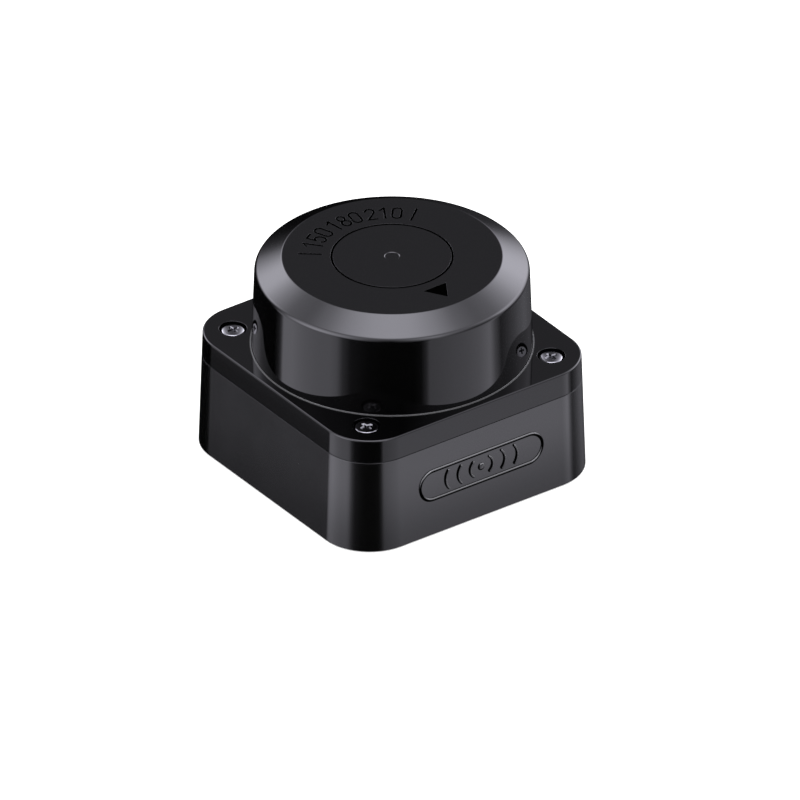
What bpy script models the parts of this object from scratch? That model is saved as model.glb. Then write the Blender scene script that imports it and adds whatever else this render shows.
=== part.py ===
"""Two-dimensional spinning laser scanner module: a square base and top cover, an
infrared-pass dome clamped between them, and a scanning core that turns inside the dome on
two ball bearings.

Frame: +Z up, origin at the centre of the flat underside, which is on the spin axis.
The front (zero-angle) side faces -Y, the cable socket side faces +Y.
All sizes are in mm. Pairs hold the low and high end of a span, or (inner, outer) radii.
"""

import math

import bmesh
import bpy
from mathutils import Matrix

MM = 0.001

# ---------------------------------------------------------------- driving sizes
BASE_HALF = 27.8          # half the 55.6 mm footprint, at the underside
TOTAL_H = 41.3
CORNER_CENTRE = 18.05     # centre of each corner arc, in x and in y
DECK_Z = 23.09            # flat deck round the dome
DRAFT = 0.70              # how much the side walls lean in, underside to deck
SEAM_Z = 18.44            # parting line between cover and base
SEAM_GAP = 0.10
LIP_Z = 20.2              # top of the base's inner lip, under the gasket
FLANGE_Z = (20.7, 21.5)   # the dome's square flange, clamped under the deck
FLANGE_HALF = 25.45
BOSS_ROOM_R = 3.15        # holes that clear the cover's screw bosses
INSERT_DEPTH = 4.0
GAP = 0.05                # left between stacked pieces
SLIP = 0.06               # clearance of sliding fits

BOARD_Z = (3.9, 5.1)
ON_BOARD_Z = BOARD_Z[1] + GAP
TUBE_FLANGE_TOP = 6.35
LOWER_BEARING_Z = 6.6
UPPER_BEARING_Z = 10.4
BEARING_W = 3.0
UPPER_BEARING_TOP = UPPER_BEARING_Z + BEARING_W

SHAFT_R = 2.5
HUB_BORE_R = SHAFT_R + SLIP
TABLE_R = 21.8
TABLE_Z = (15.0, 16.6)
ROTOR_BOARD_Z = (17.2, 18.2)
FERRITE_RADII = (15.1, 19.5)
POWER_COIL_RADII = (15.3, 19.2)


# ---------------------------------------------------------------- places
def polar(radius, degrees):
    return radius * math.cos(math.radians(degrees)), radius * math.sin(math.radians(degrees))


def corner_spots(offset):
    return [(offset, offset), (-offset, offset), (-offset, -offset), (offset, -offset)]


def span(half, centre=0.0):
    return centre - half, centre + half


def wall_half(z):
    """Half width of the drafted outer walls at height z."""
    return BASE_HALF - DRAFT * z / DECK_Z


SCREW_SPOTS = corner_spots(20.58)
INSERT_SPOTS = corner_spots(21.5)     # M2.5 inserts, 43 mm square
MOTOR_SPOTS = [polar(9.6, degrees) for degrees in (90, 210, 330)]
ROTOR_SCREW_SPOTS = [(14.7, 8.5), (-14.7, 8.5)]

# ---------------------------------------------------------------- scene
for old in list(bpy.data.objects):
    bpy.data.objects.remove(old, do_unlink=True)

parts = bpy.data.collections.new("lidar_scanner")
tools = bpy.data.collections.new("cutters")
bpy.context.scene.collection.children.link(parts)
bpy.context.scene.collection.children.link(tools)


def empty(name):
    body = bpy.data.objects.new(name, None)
    parts.objects.link(body)
    return body


base_body = empty("base_frame")
rotor_body = empty("spin_axis")
lower_cage_body = empty("lower_cage_axis")
upper_cage_body = empty("upper_cage_axis")


# ---------------------------------------------------------------- materials
def new_material(name, rgb, roughness, metallic=0.0):
    result = bpy.data.materials.new(name)
    result.use_nodes = True
    inputs = result.node_tree.nodes["Principled BSDF"].inputs
    inputs["Base Color"].default_value = (*rgb, 1)
    inputs["Roughness"].default_value = roughness
    inputs["Metallic"].default_value = metallic
    return result


def new_metal(name, rgb, roughness):
    return new_material(name, rgb, roughness, metallic=1.0)


COVER = new_material("ir_pass_black", rgb=(0.006, 0.006, 0.007), roughness=0.08)
BASE = new_material("base_satin_black", rgb=(0.012, 0.012, 0.013), roughness=0.35)
STEEL = new_metal("bright_steel", rgb=(0.75, 0.75, 0.76), roughness=0.2)
BEARING = new_metal("bearing_steel", rgb=(0.62, 0.63, 0.65), roughness=0.15)
BRASS = new_metal("brass", rgb=(0.72, 0.52, 0.22), roughness=0.3)
RUBBER = new_material("seal_rubber", rgb=(0.02, 0.02, 0.02), roughness=0.8)
LABEL = new_material("label_film", rgb=(0.75, 0.75, 0.74), roughness=0.5)
BOARD = new_material("board_green", rgb=(0.015, 0.09, 0.035), roughness=0.4)
NYLON = new_material("socket_nylon", rgb=(0.82, 0.80, 0.74), roughness=0.5)
TIN = new_metal("tinned_pin", rgb=(0.75, 0.73, 0.68), roughness=0.3)
CHIP = new_material("chip_epoxy", rgb=(0.02, 0.02, 0.02), roughness=0.6)
FERRITE = new_material("ferrite", rgb=(0.07, 0.07, 0.075), roughness=0.7)
ALUMINIUM = new_metal("turned_aluminium", rgb=(0.78, 0.79, 0.8), roughness=0.35)
LAMINATION = new_metal("lamination_steel", rgb=(0.35, 0.36, 0.38), roughness=0.4)
COPPER = new_metal("enamelled_copper", rgb=(0.72, 0.30, 0.13), roughness=0.3)
BLACK = new_material("moulded_black", rgb=(0.02, 0.02, 0.02), roughness=0.5)
MAGNET = new_metal("magnet_nickel", rgb=(0.4, 0.4, 0.41), roughness=0.45)
GLASS = new_material("coated_lens", rgb=(0.25, 0.16, 0.3), roughness=0.05)


# ---------------------------------------------------------------- modelling helpers
# A shape made without a material is a hidden helper for a boolean. Cutters run past the
# faces they open through.
def place(part, material, parent):
    if material is None:
        part.hide_render = True
        part.display_type = "WIRE"
        tools.objects.link(part)
    else:
        parts.objects.link(part)
        part.data.materials.clear()
        part.data.materials.append(material)
    part.parent = parent
    return part


def finish(name, shape, material, parent):
    """Turn a bmesh into a smooth-shaded, placed object."""
    bmesh.ops.recalc_face_normals(shape, faces=shape.faces)
    mesh = bpy.data.meshes.new(name)
    shape.to_mesh(mesh)
    shape.free()
    mesh.shade_smooth()
    mesh.set_sharp_from_angle(angle=math.radians(35))
    return place(bpy.data.objects.new(name, mesh), material, parent)


def block(name, x, y, z, material=None, parent=base_body, bevel=0.0, turn=0.0):
    """A box over three spans, then turned about the spin axis by turn degrees."""
    shape = bmesh.new()
    bmesh.ops.create_cube(shape, size=1.0)
    size = [high - low for low, high in (x, y, z)]
    middle = [(low + high) / 2 for low, high in (x, y, z)]
    for vert in shape.verts:
        vert.co = [(vert.co[i] * size[i] + middle[i]) * MM for i in range(3)]
    if bevel:
        bmesh.ops.bevel(shape, geom=list(shape.edges), offset=bevel * MM, segments=1,
                        affect="EDGES", profile=0.5)
    if turn:
        bmesh.ops.rotate(shape, verts=shape.verts, cent=(0, 0, 0),
                         matrix=Matrix.Rotation(math.radians(turn), 3, "Z"))
    return finish(name, shape, material, parent)


def rod(name, radius, ends, segments, at=(0, 0), material=None, parent=base_body,
        end_radius=None, along_y=False):
    """A cylinder, or a cone when end_radius differs, between two heights at (x, y).
    With along_y it lies between two y values at (x, z)."""
    middle = (ends[0] + ends[1]) / 2 * MM
    if along_y:
        matrix = (Matrix.Translation((at[0] * MM, middle, at[1] * MM))
                  @ Matrix.Rotation(-math.pi / 2, 4, "X"))
    else:
        matrix = Matrix.Translation((at[0] * MM, at[1] * MM, middle))
    shape = bmesh.new()
    bmesh.ops.create_cone(shape, cap_ends=True, cap_tris=False, segments=segments,
                          radius1=radius * MM,
                          radius2=(radius if end_radius is None else end_radius) * MM,
                          depth=(ends[1] - ends[0]) * MM, matrix=matrix)
    return finish(name, shape, material, parent)


def turned(name, profile, steps, material=None, parent=base_body, at=(0, 0, 0), lay=False):
    """A turned shape from (radius, height) points. A profile that starts off the axis is
    closed into a ring. lay turns its axis from +Z to -Y."""
    shape = bmesh.new()
    points = [shape.verts.new((radius * MM, 0, z * MM)) for radius, z in profile]
    for start, end in zip(points, points[1:]):
        shape.edges.new((start, end))
    if profile[0][0] > 0:
        shape.edges.new((points[-1], points[0]))
    mesh = bpy.data.meshes.new(name)
    shape.to_mesh(mesh)
    shape.free()
    part = bpy.data.objects.new(name, mesh)
    screw = part.modifiers.new("Turn", "SCREW")
    screw.axis = "Z"
    screw.angle = 2 * math.pi
    screw.steps = screw.render_steps = steps
    screw.use_merge_vertices = True
    screw.merge_threshold = 0.00001
    screw.use_smooth_shade = True
    part.location = [value * MM for value in at]
    if lay:
        part.rotation_euler = (math.pi / 2, 0, 0)
    return place(part, material, parent)


def band(radii, z):
    """Profile of a ring with a rectangular section."""
    inner, outer = radii
    return [(outer, z[1]), (outer, z[0]), (inner, z[0]), (inner, z[1])]


def rounded_block(name, z, half, material=None, segments=4, edge=0.0):
    """A square block with round corners about (+-CORNER_CENTRE, +-CORNER_CENTRE). half is
    its half width, or a (bottom, top) pair for walls with draft. edge rounds the rim."""
    half_bottom, half_top = half if isinstance(half, tuple) else (half, half)
    bottom_radius = half_bottom - CORNER_CENTRE
    top_radius = half_top - CORNER_CENTRE
    shape = bmesh.new()
    bmesh.ops.create_cube(shape, size=1.0)
    for vert in shape.verts:
        vert.co = (vert.co.x * 2 * half_bottom * MM, vert.co.y * 2 * half_bottom * MM,
                   (z[0] if vert.co.z < 0 else z[1]) * MM)
    upright = [line for line in shape.edges
               if abs(line.verts[0].co.z - line.verts[1].co.z) > 1e-6]
    bmesh.ops.bevel(shape, geom=upright, offset=bottom_radius * MM, offset_type="OFFSET",
                    segments=segments, profile=0.5, affect="EDGES")
    # Put every corner point exactly on its arc.
    middle = (z[0] + z[1]) / 2 * MM
    for vert in shape.verts:
        radius = bottom_radius if vert.co.z < middle else top_radius
        centre_x = math.copysign(CORNER_CENTRE * MM, vert.co.x)
        centre_y = math.copysign(CORNER_CENTRE * MM, vert.co.y)
        away_x, away_y = vert.co.x - centre_x, vert.co.y - centre_y
        length = math.hypot(away_x, away_y)
        vert.co.x = centre_x + away_x / length * radius * MM
        vert.co.y = centre_y + away_y / length * radius * MM
    if edge:
        rim = [line for line in shape.edges
               if min(line.verts[0].co.z, line.verts[1].co.z) > middle]
        bmesh.ops.bevel(shape, geom=rim, offset=edge * MM, segments=2,
                        profile=0.5, affect="EDGES")
    return finish(name, shape, material, base_body)


def outline(name, loops, thickness, material=None, parent=base_body, at=(0, 0, 0),
            rotation=(0, 0, 0)):
    """A flat plate from closed outlines, made from a filled 2D curve and then turned into
    a mesh with its caps welded. Its thickness is centred on at."""
    curve = bpy.data.curves.new(name, "CURVE")
    curve.dimensions = "2D"
    curve.fill_mode = "BOTH"
    curve.extrude = thickness / 2 * MM
    for loop in loops:
        spline = curve.splines.new("POLY")
        spline.points.add(len(loop) - 1)
        for point, (x, y) in zip(spline.points, loop):
            point.co = (x * MM, y * MM, 0, 1)
        spline.use_cyclic_u = True
    source = bpy.data.objects.new(name + "_outline", curve)
    bpy.context.scene.collection.objects.link(source)
    source.location = [value * MM for value in at]
    source.rotation_euler = rotation
    bpy.context.view_layer.update()
    graph = bpy.context.evaluated_depsgraph_get()
    mesh = bpy.data.meshes.new_from_object(source.evaluated_get(graph))
    mesh.name = name
    shape = bmesh.new()
    shape.from_mesh(mesh)
    bmesh.ops.remove_doubles(shape, verts=shape.verts, dist=0.000001)
    shape.to_mesh(mesh)
    shape.free()
    matrix = source.matrix_world.copy()
    bpy.data.objects.remove(source)
    part = place(bpy.data.objects.new(name, mesh), material, parent)
    part.matrix_world = matrix
    return part


def boolean(part, other, operation):
    modifier = part.modifiers.new(other.name, "BOOLEAN")
    modifier.operation = operation
    modifier.solver = "EXACT"
    modifier.object = other


def cut(part, other):
    boolean(part, other, "DIFFERENCE")


def join(part, other):
    boolean(part, other, "UNION")


def fillet(before, corner, after, radius, steps):
    """Points of the arc that rounds a corner of a profile."""
    def direction(point):
        x, y = point[0] - corner[0], point[1] - corner[1]
        length = math.hypot(x, y)
        return x / length, y / length

    back, ahead = direction(before), direction(after)
    half = math.acos(back[0] * ahead[0] + back[1] * ahead[1]) / 2
    trim = radius / math.tan(half)
    bisector = (back[0] + ahead[0], back[1] + ahead[1])
    reach = radius / math.sin(half) / math.hypot(*bisector)
    centre = (corner[0] + bisector[0] * reach, corner[1] + bisector[1] * reach)
    start, end = [math.atan2(corner[1] + side[1] * trim - centre[1],
                             corner[0] + side[0] * trim - centre[0])
                  for side in (back, ahead)]
    sweep = math.remainder(end - start, math.tau)
    angles = [start + sweep * i / steps for i in range(steps + 1)]
    return [(centre[0] + radius * math.cos(angle), centre[1] + radius * math.sin(angle))
            for angle in angles]


# ---------------------------------------------------------------- base housing
FLOOR_Z = 2.0
ROOT_Z = 1.5              # posts start inside the floor
LABEL_HALF = (14.0, 9.0)
LABEL_MARGIN = 0.25

base = rounded_block("base_housing", (0, SEAM_Z - SEAM_GAP / 2),
                     (wall_half(0), wall_half(SEAM_Z)), BASE, segments=6)
join(base, rounded_block("lip", (17.0, LIP_Z), 25.5))
cut(base, rounded_block("cavity_low", (FLOOR_Z, 16.4), 25.3))
cut(base, rounded_block("cavity_high", (16.0, 22.0), 24.45))
for i, (screw_at, insert_at) in enumerate(zip(SCREW_SPOTS, INSERT_SPOTS)):
    join(base, rod(f"column_{i}", 3.0, (ROOT_Z, 19.8), 12, screw_at))
    join(base, rod(f"insert_boss_{i}", 3.2, (1.4, 6.5), 12, insert_at))
for i, (screw_at, insert_at) in enumerate(zip(SCREW_SPOTS, INSERT_SPOTS)):
    cut(base, rod(f"boss_room_{i}", BOSS_ROOM_R, (19.82, 22.5), 14, screw_at))
    cut(base, rod(f"pilot_{i}", 1.38, (12.6, 21.0), 10, screw_at))
    cut(base, rod(f"insert_pocket_{i}", 1.98, (-1.0, INSERT_DEPTH + 0.3), 16, insert_at))
for i, spot in enumerate(MOTOR_SPOTS):
    join(base, rod(f"motor_boss_{i}", 2.1, (ROOT_Z, BOARD_Z[0] - GAP), 14, spot))
    cut(base, rod(f"motor_pilot_{i}", 1.07, (1.0, 5.0), 10, spot))
for i, spot in enumerate(corner_spots(16.4)):
    join(base, rod(f"board_post_{i}", 1.6, (ROOT_Z, BOARD_Z[0] - GAP), 12, spot))
cut(base, block("socket_window", span(6.7), (23.0, 30.0), (4.85, 11.5)))
cut(base, block("label_recess", span(LABEL_HALF[0] + LABEL_MARGIN),
                span(LABEL_HALF[1] + LABEL_MARGIN), (-1.0, 0.3)))

# A raised bead round a pill-shaped badge on the leaning front wall.
BADGE_Z = 10.4
BADGE_L, BADGE_H = 27.0, 6.0      # along the middle of the bead
BEAD_W = 0.45
BEAD_DEPTH = 1.0
BEAD_PROUD = 0.2


def pill(length, height, steps=10):
    """Outline of a rounded bar, centred on the origin."""
    radius = height / 2
    centre = length / 2 - radius
    angles = [-math.pi / 2 + math.pi * i / steps for i in range(steps + 1)]
    right = [(centre + radius * math.cos(angle), radius * math.sin(angle))
             for angle in angles]
    return right + [(-x, -y) for x, y in right]


join(base, outline("badge_bead",
                   [pill(BADGE_L + BEAD_W, BADGE_H + BEAD_W),
                    pill(BADGE_L - BEAD_W, BADGE_H - BEAD_W)], BEAD_DEPTH,
                   at=(0, BEAD_DEPTH / 2 - BEAD_PROUD - wall_half(BADGE_Z), BADGE_Z),
                   rotation=(math.pi / 2 - math.atan(DRAFT / DECK_Z), 0, 0)))

block("rating_label", span(LABEL_HALF[0]), span(LABEL_HALF[1]), (0.1, 0.25), LABEL)

# ---------------------------------------------------------------- top cover
OPENING_R = 25.60
COUNTERBORE_Z = 21.35

cover = rounded_block("top_cover", (SEAM_Z + SEAM_GAP / 2, DECK_Z),
                      (wall_half(SEAM_Z), wall_half(DECK_Z)), COVER, segments=6, edge=0.4)
cut(cover, rod("dome_opening", OPENING_R, (17.0, 24.0), 48))
cut(cover, rounded_block("cover_room", (17.0, FLANGE_Z[1] + GAP), 25.74))
for i, spot in enumerate(SCREW_SPOTS):
    join(cover, rod(f"cover_boss_{i}", 2.9, (19.9, 22.0), 12, spot))
for i, spot in enumerate(SCREW_SPOTS):
    cut(cover, rod(f"counterbore_{i}", 2.55, (COUNTERBORE_Z, 24.0), 20, spot))
    cut(cover, rod(f"screw_way_{i}", 1.42, (19.0, 22.0), 10, spot))

# ---------------------------------------------------------------- optical dome
# Stations of the outer wall, (radius, height), before its corners are rounded.
DOME_WALL = (25.44, DECK_Z)
DOME_SHOULDER = (24.92, 38.69)
DOME_TOP = (20.0, TOTAL_H)
DOME_CENTRE = (0, TOTAL_H)
SHOULDER_FILLET = 1.5
TOP_FILLET = 0.6
DOME_THICKNESS = 1.65
GROOVE_R = 10.94          # fine ring groove on the dome's top
GROOVE_HALF_W = 0.18
ARROW_DEPTH = 0.25
ARROW_CUTTER_H = 1.0

foot_r = DOME_WALL[0]
dome = turned("optical_dome",
              [DOME_CENTRE,
               *fillet(DOME_CENTRE, DOME_TOP, DOME_SHOULDER, TOP_FILLET, 1),
               *fillet(DOME_TOP, DOME_SHOULDER, DOME_WALL, SHOULDER_FILLET, 2),
               DOME_WALL, (foot_r, FLANGE_Z[0]), (0, FLANGE_Z[0])], 48, COVER)
join(dome, rounded_block("dome_flange", FLANGE_Z, FLANGE_HALF))
cut(dome, turned("dome_inside",
                 [(0, 39.5), (18.9, 39.5), (23.25, 37.35),
                  (foot_r - DOME_THICKNESS, 17.0), (0, 17.0)], 32))
for i, spot in enumerate(SCREW_SPOTS):
    cut(dome, rod(f"ear_hole_{i}", BOSS_ROOM_R, (20.0, 22.0), 14, spot))
cut(dome, turned("ring_groove", band(span(GROOVE_HALF_W, GROOVE_R), (41.05, 42.0)), 32))
cut(dome, rod("centre_dimple", 0.8, (41.1, 41.6), 12, end_radius=1.75))
cut(dome, outline("front_arrow", [[(-2.28, -13.55), (0.0, -17.2), (2.28, -13.55)]],
                  ARROW_CUTTER_H, at=(0, 0, TOTAL_H - ARROW_DEPTH + ARROW_CUTTER_H / 2)))

gasket = rounded_block("cover_gasket", (LIP_Z + GAP, FLANGE_Z[0] - GAP), FLANGE_HALF,
                       RUBBER)
cut(gasket, rounded_block("gasket_hole", (19.0, 22.0), 24.66))

# ---------------------------------------------------------------- fasteners and inserts
COVER_HEAD_Z = COUNTERBORE_Z + 0.07
COVER_SCREW_END = 13.3
COVER_SCREW = [(0, 22.85), (1.6, 22.78), (2.2, 22.25), (2.2, COVER_HEAD_Z),
               (1.25, COVER_HEAD_Z), (1.25, COVER_SCREW_END), (0, COVER_SCREW_END)]
DRIVE_ARMS = ((1.3, 0.24), (0.24, 1.3))   # half sizes of the cross recess, in x and in y

for i, (x, y) in enumerate(SCREW_SPOTS):
    screw = turned(f"cover_screw_{i + 1}", COVER_SCREW, 16, STEEL, at=(x, y, 0))
    for k, (half_x, half_y) in enumerate(DRIVE_ARMS):
        cut(screw, block(f"drive_{i}_{k}", span(half_x, x), span(half_y, y), (21.75, 24.0)))
for i, (x, y) in enumerate(INSERT_SPOTS):
    turned(f"mount_insert_{i + 1}", band((1.05, 1.9), (GAP, INSERT_DEPTH + GAP)), 12, BRASS,
           at=(x, y, 0))

# ---------------------------------------------------------------- control board
SIDE = 24.0               # half width of the board
CHAMFER = 12.2            # where the cut corners start

board = outline("control_board",
                [[(SIDE, -CHAMFER), (SIDE, CHAMFER), (CHAMFER, SIDE), (-CHAMFER, SIDE),
                  (-SIDE, CHAMFER), (-SIDE, -CHAMFER), (-CHAMFER, -SIDE), (CHAMFER, -SIDE)]],
                BOARD_Z[1] - BOARD_Z[0], BOARD, at=(0, 0, sum(BOARD_Z) / 2))
for i, spot in enumerate(MOTOR_SPOTS):
    cut(board, rod(f"board_hole_{i}", 1.15, (3, 6), 12, spot))

# Chips: name, x span, y span, top
for name, x, y, top in (
        ("controller_chip", (-16.5, -9.5), (-17.0, -10.0), 6.05),
        ("motor_driver_chip", (10.5, 15.5), (-15.5, -10.5), 5.95),
        ("link_receiver", (-1.0, 1.0), (-1.0, 1.0), 5.6)):
    block(name, x, y, (ON_BOARD_Z, top), CHIP)

# ---------------------------------------------------------------- cable socket
PIN_Z = 8.15
PIN_PITCH = 2.5
PIN_W = 0.64
PIN_BACK_Y = 18.6
PIN_TIP_Y = 25.6

socket = block("cable_socket", span(6.2), (20.2, 26.9), (ON_BOARD_Z, 11.15), NYLON)
cut(socket, block("socket_room", span(5.3), (21.4, 28.0), (6.05, 10.3)))
for side, x in (("a", -3.4), ("b", 3.4)):
    cut(socket, block(f"socket_key_{side}", span(0.5, x), (22.4, 28.0), (10.0, 12.0)))

# An L-shaped pin as (y, z): up from the board, then along +Y into the socket.
pin_bottom, pin_top = span(PIN_W / 2, PIN_Z)
pin_loop = [(PIN_BACK_Y, ON_BOARD_Z), (PIN_BACK_Y + PIN_W, ON_BOARD_Z),
            (PIN_BACK_Y + PIN_W, pin_bottom), (PIN_TIP_Y, pin_bottom),
            (PIN_TIP_Y, pin_top), (PIN_BACK_Y, pin_top)]
for i in range(4):
    x = (i - 1.5) * PIN_PITCH
    cut(socket, block(f"pin_way_{i}", span(0.4, x), (19.5, 21.9), span(0.4, PIN_Z)))
    outline(f"socket_pin_{i + 1}", [pin_loop], PIN_W, TIN, at=(x, 0, 0),
            rotation=(math.pi / 2, 0, math.pi / 2))

# ---------------------------------------------------------------- bearing tube
TUBE_R = 5.5
SEAT_R = 4.55             # bearing seats, either side of a shoulder
SHOULDER_R = 3.95
TUBE_TOP = 13.5
TUBE_STEP_Z = 8.15
SHOULDER_Z = (LOWER_BEARING_Z + BEARING_W + GAP, UPPER_BEARING_Z - GAP)
MOTOR_HEAD_Z = TUBE_FLANGE_TOP + GAP
MOTOR_SCREW = [(0, 7.0), (1.5, 6.97), (1.75, 6.8), (1.75, MOTOR_HEAD_Z),
               (1.0, MOTOR_HEAD_Z), (1.0, 1.3), (0, 1.3)]

tube = turned("bearing_tube",
              [(TUBE_R, TUBE_TOP), (TUBE_R, TUBE_STEP_Z), (6.3, TUBE_STEP_Z),
               (6.3, TUBE_FLANGE_TOP), (12.0, TUBE_FLANGE_TOP), (12.0, ON_BOARD_Z),
               (SEAT_R, ON_BOARD_Z), (SEAT_R, SHOULDER_Z[0]), (SHOULDER_R, SHOULDER_Z[0]),
               (SHOULDER_R, SHOULDER_Z[1]), (SEAT_R, SHOULDER_Z[1]), (SEAT_R, TUBE_TOP)],
              24, ALUMINIUM)
for i, (x, y) in enumerate(MOTOR_SPOTS):
    cut(tube, rod(f"flange_hole_{i}", 1.15, (4, 8), 12, (x, y)))
    turned(f"motor_screw_{i + 1}", MOTOR_SCREW, 10, STEEL, at=(x, y, 0))

# ---------------------------------------------------------------- stator
TEETH = 6
TOOTH_HALF = 1.3
STATOR_H = 3.0
STATOR_Z = 9.7            # mid height


def stator_loop():
    """Outline of the stator lamination: a ring with T-shaped teeth."""
    tooth = [(7.5, -TOOTH_HALF), (10.1, -TOOTH_HALF), polar(10.35, -20),
             *[polar(11.4, degrees) for degrees in (-21, -10.5, 0, 10.5, 21)],
             polar(10.35, 20), (10.1, TOOTH_HALF), (7.5, TOOTH_HALF)]
    points = []
    for k in range(TEETH):
        cosine, sine = polar(1, 360 / TEETH * k)
        points += [(x * cosine - y * sine, x * sine + y * cosine) for x, y in tooth]
    return points


stator_bore = [polar(TUBE_R + SLIP, 360 * i / 24) for i in range(24)]
outline("stator_core", [stator_loop(), stator_bore], STATOR_H, LAMINATION,
        at=(0, 0, STATOR_Z))

winding = turned("stator_winding", band((8.0, 8.7), (7.15, 7.75)), 24, COPPER)
for k in range(TEETH):
    join(winding, block(f"coil_{k}", (7.75, 10.0), span(2.45), (7.05, 12.35), bevel=0.7,
                        turn=360 / TEETH * k))
for k in range(TEETH):
    cut(winding, block(f"tooth_way_{k}", (5.0, 12.0), span(TOOTH_HALF + SLIP),
                       span(STATOR_H / 2 + SLIP, STATOR_Z), turn=360 / TEETH * k))

# ---------------------------------------------------------------- fixed coil and sensor
carrier = turned("coil_carrier", band((15.0, 19.6), (10.3, 11.15)), 24, BLACK)
for i, degrees in enumerate((30, 150, 270)):
    join(carrier, rod(f"carrier_leg_{i}", 1.4, (ON_BOARD_Z, 10.8), 12,
                      polar(17.3, degrees)))
turned("ferrite_ring_lower", band(FERRITE_RADII, (11.2, 12.15)), 24, FERRITE)
turned("power_coil_lower", band(POWER_COIL_RADII, (12.2, 13.0)), 24, COPPER)

sensor = block("photo_interrupter", (19.9, 23.3), span(2.3), (ON_BOARD_Z, 13.8), BLACK)
cut(sensor, block("sensor_slot", (20.8, 22.3), span(4), (9.5, 15.0)))

# ---------------------------------------------------------------- ball bearings
BALLS = 7
PITCH_R, BALL_R = 3.55, 0.52
TRACK_R = BALL_R + 0.13
INNER_RACE = (2.53, 3.2)
OUTER_RACE = (3.9, 4.47)


def ball_track(race_r, side, middle):
    """The ball track in a race, from top to bottom; side is -1 inside the pitch circle."""
    groove = []
    for degrees in (40, 0, -40):
        across, up = polar(TRACK_R, degrees)
        groove.append((PITCH_R + side * across, middle + up))
    return [(race_r, middle + 0.65), *groove, (race_r, middle - 0.65)]


def bearing(prefix, bottom, cage_body):
    top = bottom + BEARING_W
    middle = bottom + BEARING_W / 2
    bore, land = INNER_RACE
    turned(prefix + "_inner_race",
           [(land, top), *ball_track(land, -1, middle), (land, bottom),
            (bore, bottom), (bore, top)], 16, BEARING, rotor_body)
    land, rim = OUTER_RACE
    turned(prefix + "_outer_race",
           [(rim, top), (rim, bottom), (land, bottom),
            *ball_track(land, 1, middle)[::-1], (land, top)], 16, BEARING)
    cage = turned(prefix + "_ball_cage", band((3.36, 3.74), span(0.28, middle)), 14, BRASS,
                  cage_body)
    for k in range(BALLS):
        x, y = polar(PITCH_R, 360.0 / BALLS * k + 4)
        shape = bmesh.new()
        bmesh.ops.create_uvsphere(shape, u_segments=6, v_segments=4, radius=BALL_R * MM,
                                  matrix=Matrix.Translation((x * MM, y * MM, middle * MM)))
        join(cage, finish(f"{prefix}_ball_{k}", shape, None, cage_body))


bearing("lower_bearing", LOWER_BEARING_Z, lower_cage_body)
bearing("upper_bearing", UPPER_BEARING_Z, upper_cage_body)

# ---------------------------------------------------------------- shaft and bell
SHAFT_Z = (5.85, 16.5)
SHAFT_BORE_R = 1.1
CLIP_GROOVE_Z = (6.1, 6.52)
BELL_TOP_Z = (14.0, 14.8)
BELL_INNER_R = 13.45
COLLAR_Z = (UPPER_BEARING_TOP + GAP, BELL_TOP_Z[0] - GAP)

turned("rotor_shaft",
       [(SHAFT_R, SHAFT_Z[1]), (SHAFT_R, COLLAR_Z[1]), (3.15, COLLAR_Z[1]),
        (3.15, COLLAR_Z[0]), (SHAFT_R, COLLAR_Z[0]), (SHAFT_R, CLIP_GROOVE_Z[1]),
        (2.2, CLIP_GROOVE_Z[1]), (2.2, CLIP_GROOVE_Z[0]), (SHAFT_R, CLIP_GROOVE_Z[0]),
        (SHAFT_R, SHAFT_Z[0]), (SHAFT_BORE_R, SHAFT_Z[0]), (SHAFT_BORE_R, SHAFT_Z[1])],
       16, STEEL, rotor_body)
clip = ([polar(3.4, 30 + 30 * i) for i in range(11)] +
        [polar(2.35, 330 - 30 * i) for i in range(11)])
outline("shaft_clip", [clip], 0.3, BEARING, rotor_body, at=(0, 0, sum(CLIP_GROOVE_Z) / 2))
turned("rotor_bell",
       [(14.0, BELL_TOP_Z[1]), (14.3, 14.5), (14.3, 7.0), (BELL_INNER_R, 7.0),
        (BELL_INNER_R, BELL_TOP_Z[0]), (HUB_BORE_R, BELL_TOP_Z[0]),
        (HUB_BORE_R, BELL_TOP_Z[1])], 32, LAMINATION, rotor_body)
turned("magnet_ring", band((11.9, BELL_INNER_R - GAP), (7.6, 12.0)), 32, MAGNET, rotor_body)

# ---------------------------------------------------------------- turntable
HUB_Z = BELL_TOP_Z[1] + GAP
HUB_R = 5.0
UNDER_TABLE_Z = TABLE_Z[0] - GAP
SLOTS = 9                 # each slot cutter opens both sides of the encoder ring

table = turned("turntable",
               [(TABLE_R, TABLE_Z[1]), (TABLE_R, TABLE_Z[0]), (HUB_R, TABLE_Z[0]),
                (HUB_R, HUB_Z), (HUB_BORE_R, HUB_Z), (HUB_BORE_R, TABLE_Z[1])],
               32, BLACK, rotor_body)
for i, spot in enumerate(ROTOR_SCREW_SPOTS + [(11.5, -9.0), (-11.5, -9.0)]):
    join(table, rod(f"table_boss_{i}", 1.7, (16.0, ROTOR_BOARD_Z[0] - GAP), 12, spot))
for i, spot in enumerate(ROTOR_SCREW_SPOTS):
    cut(table, rod(f"table_hole_{i}", 0.88, (14.5, 18.0), 10, spot))

encoder = turned("encoder_ring",
                 [(TABLE_R, UNDER_TABLE_Z), (TABLE_R, 11.8), (21.25, 11.8), (21.25, 14.2),
                  (20.0, 14.2), (20.0, UNDER_TABLE_Z)], 36, BLACK, rotor_body)
for k in range(SLOTS):
    cut(encoder, block(f"slot_{k}", span(23.0), span(1.0), (11.0, 13.4),
                       turn=180 / SLOTS * k + 5))
turned("ferrite_ring_upper", band(FERRITE_RADII, (14.45, UNDER_TABLE_Z)), 24, FERRITE,
       rotor_body)
turned("power_coil_upper", band(POWER_COIL_RADII, (13.7, 14.4)), 24, COPPER, rotor_body)

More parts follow.
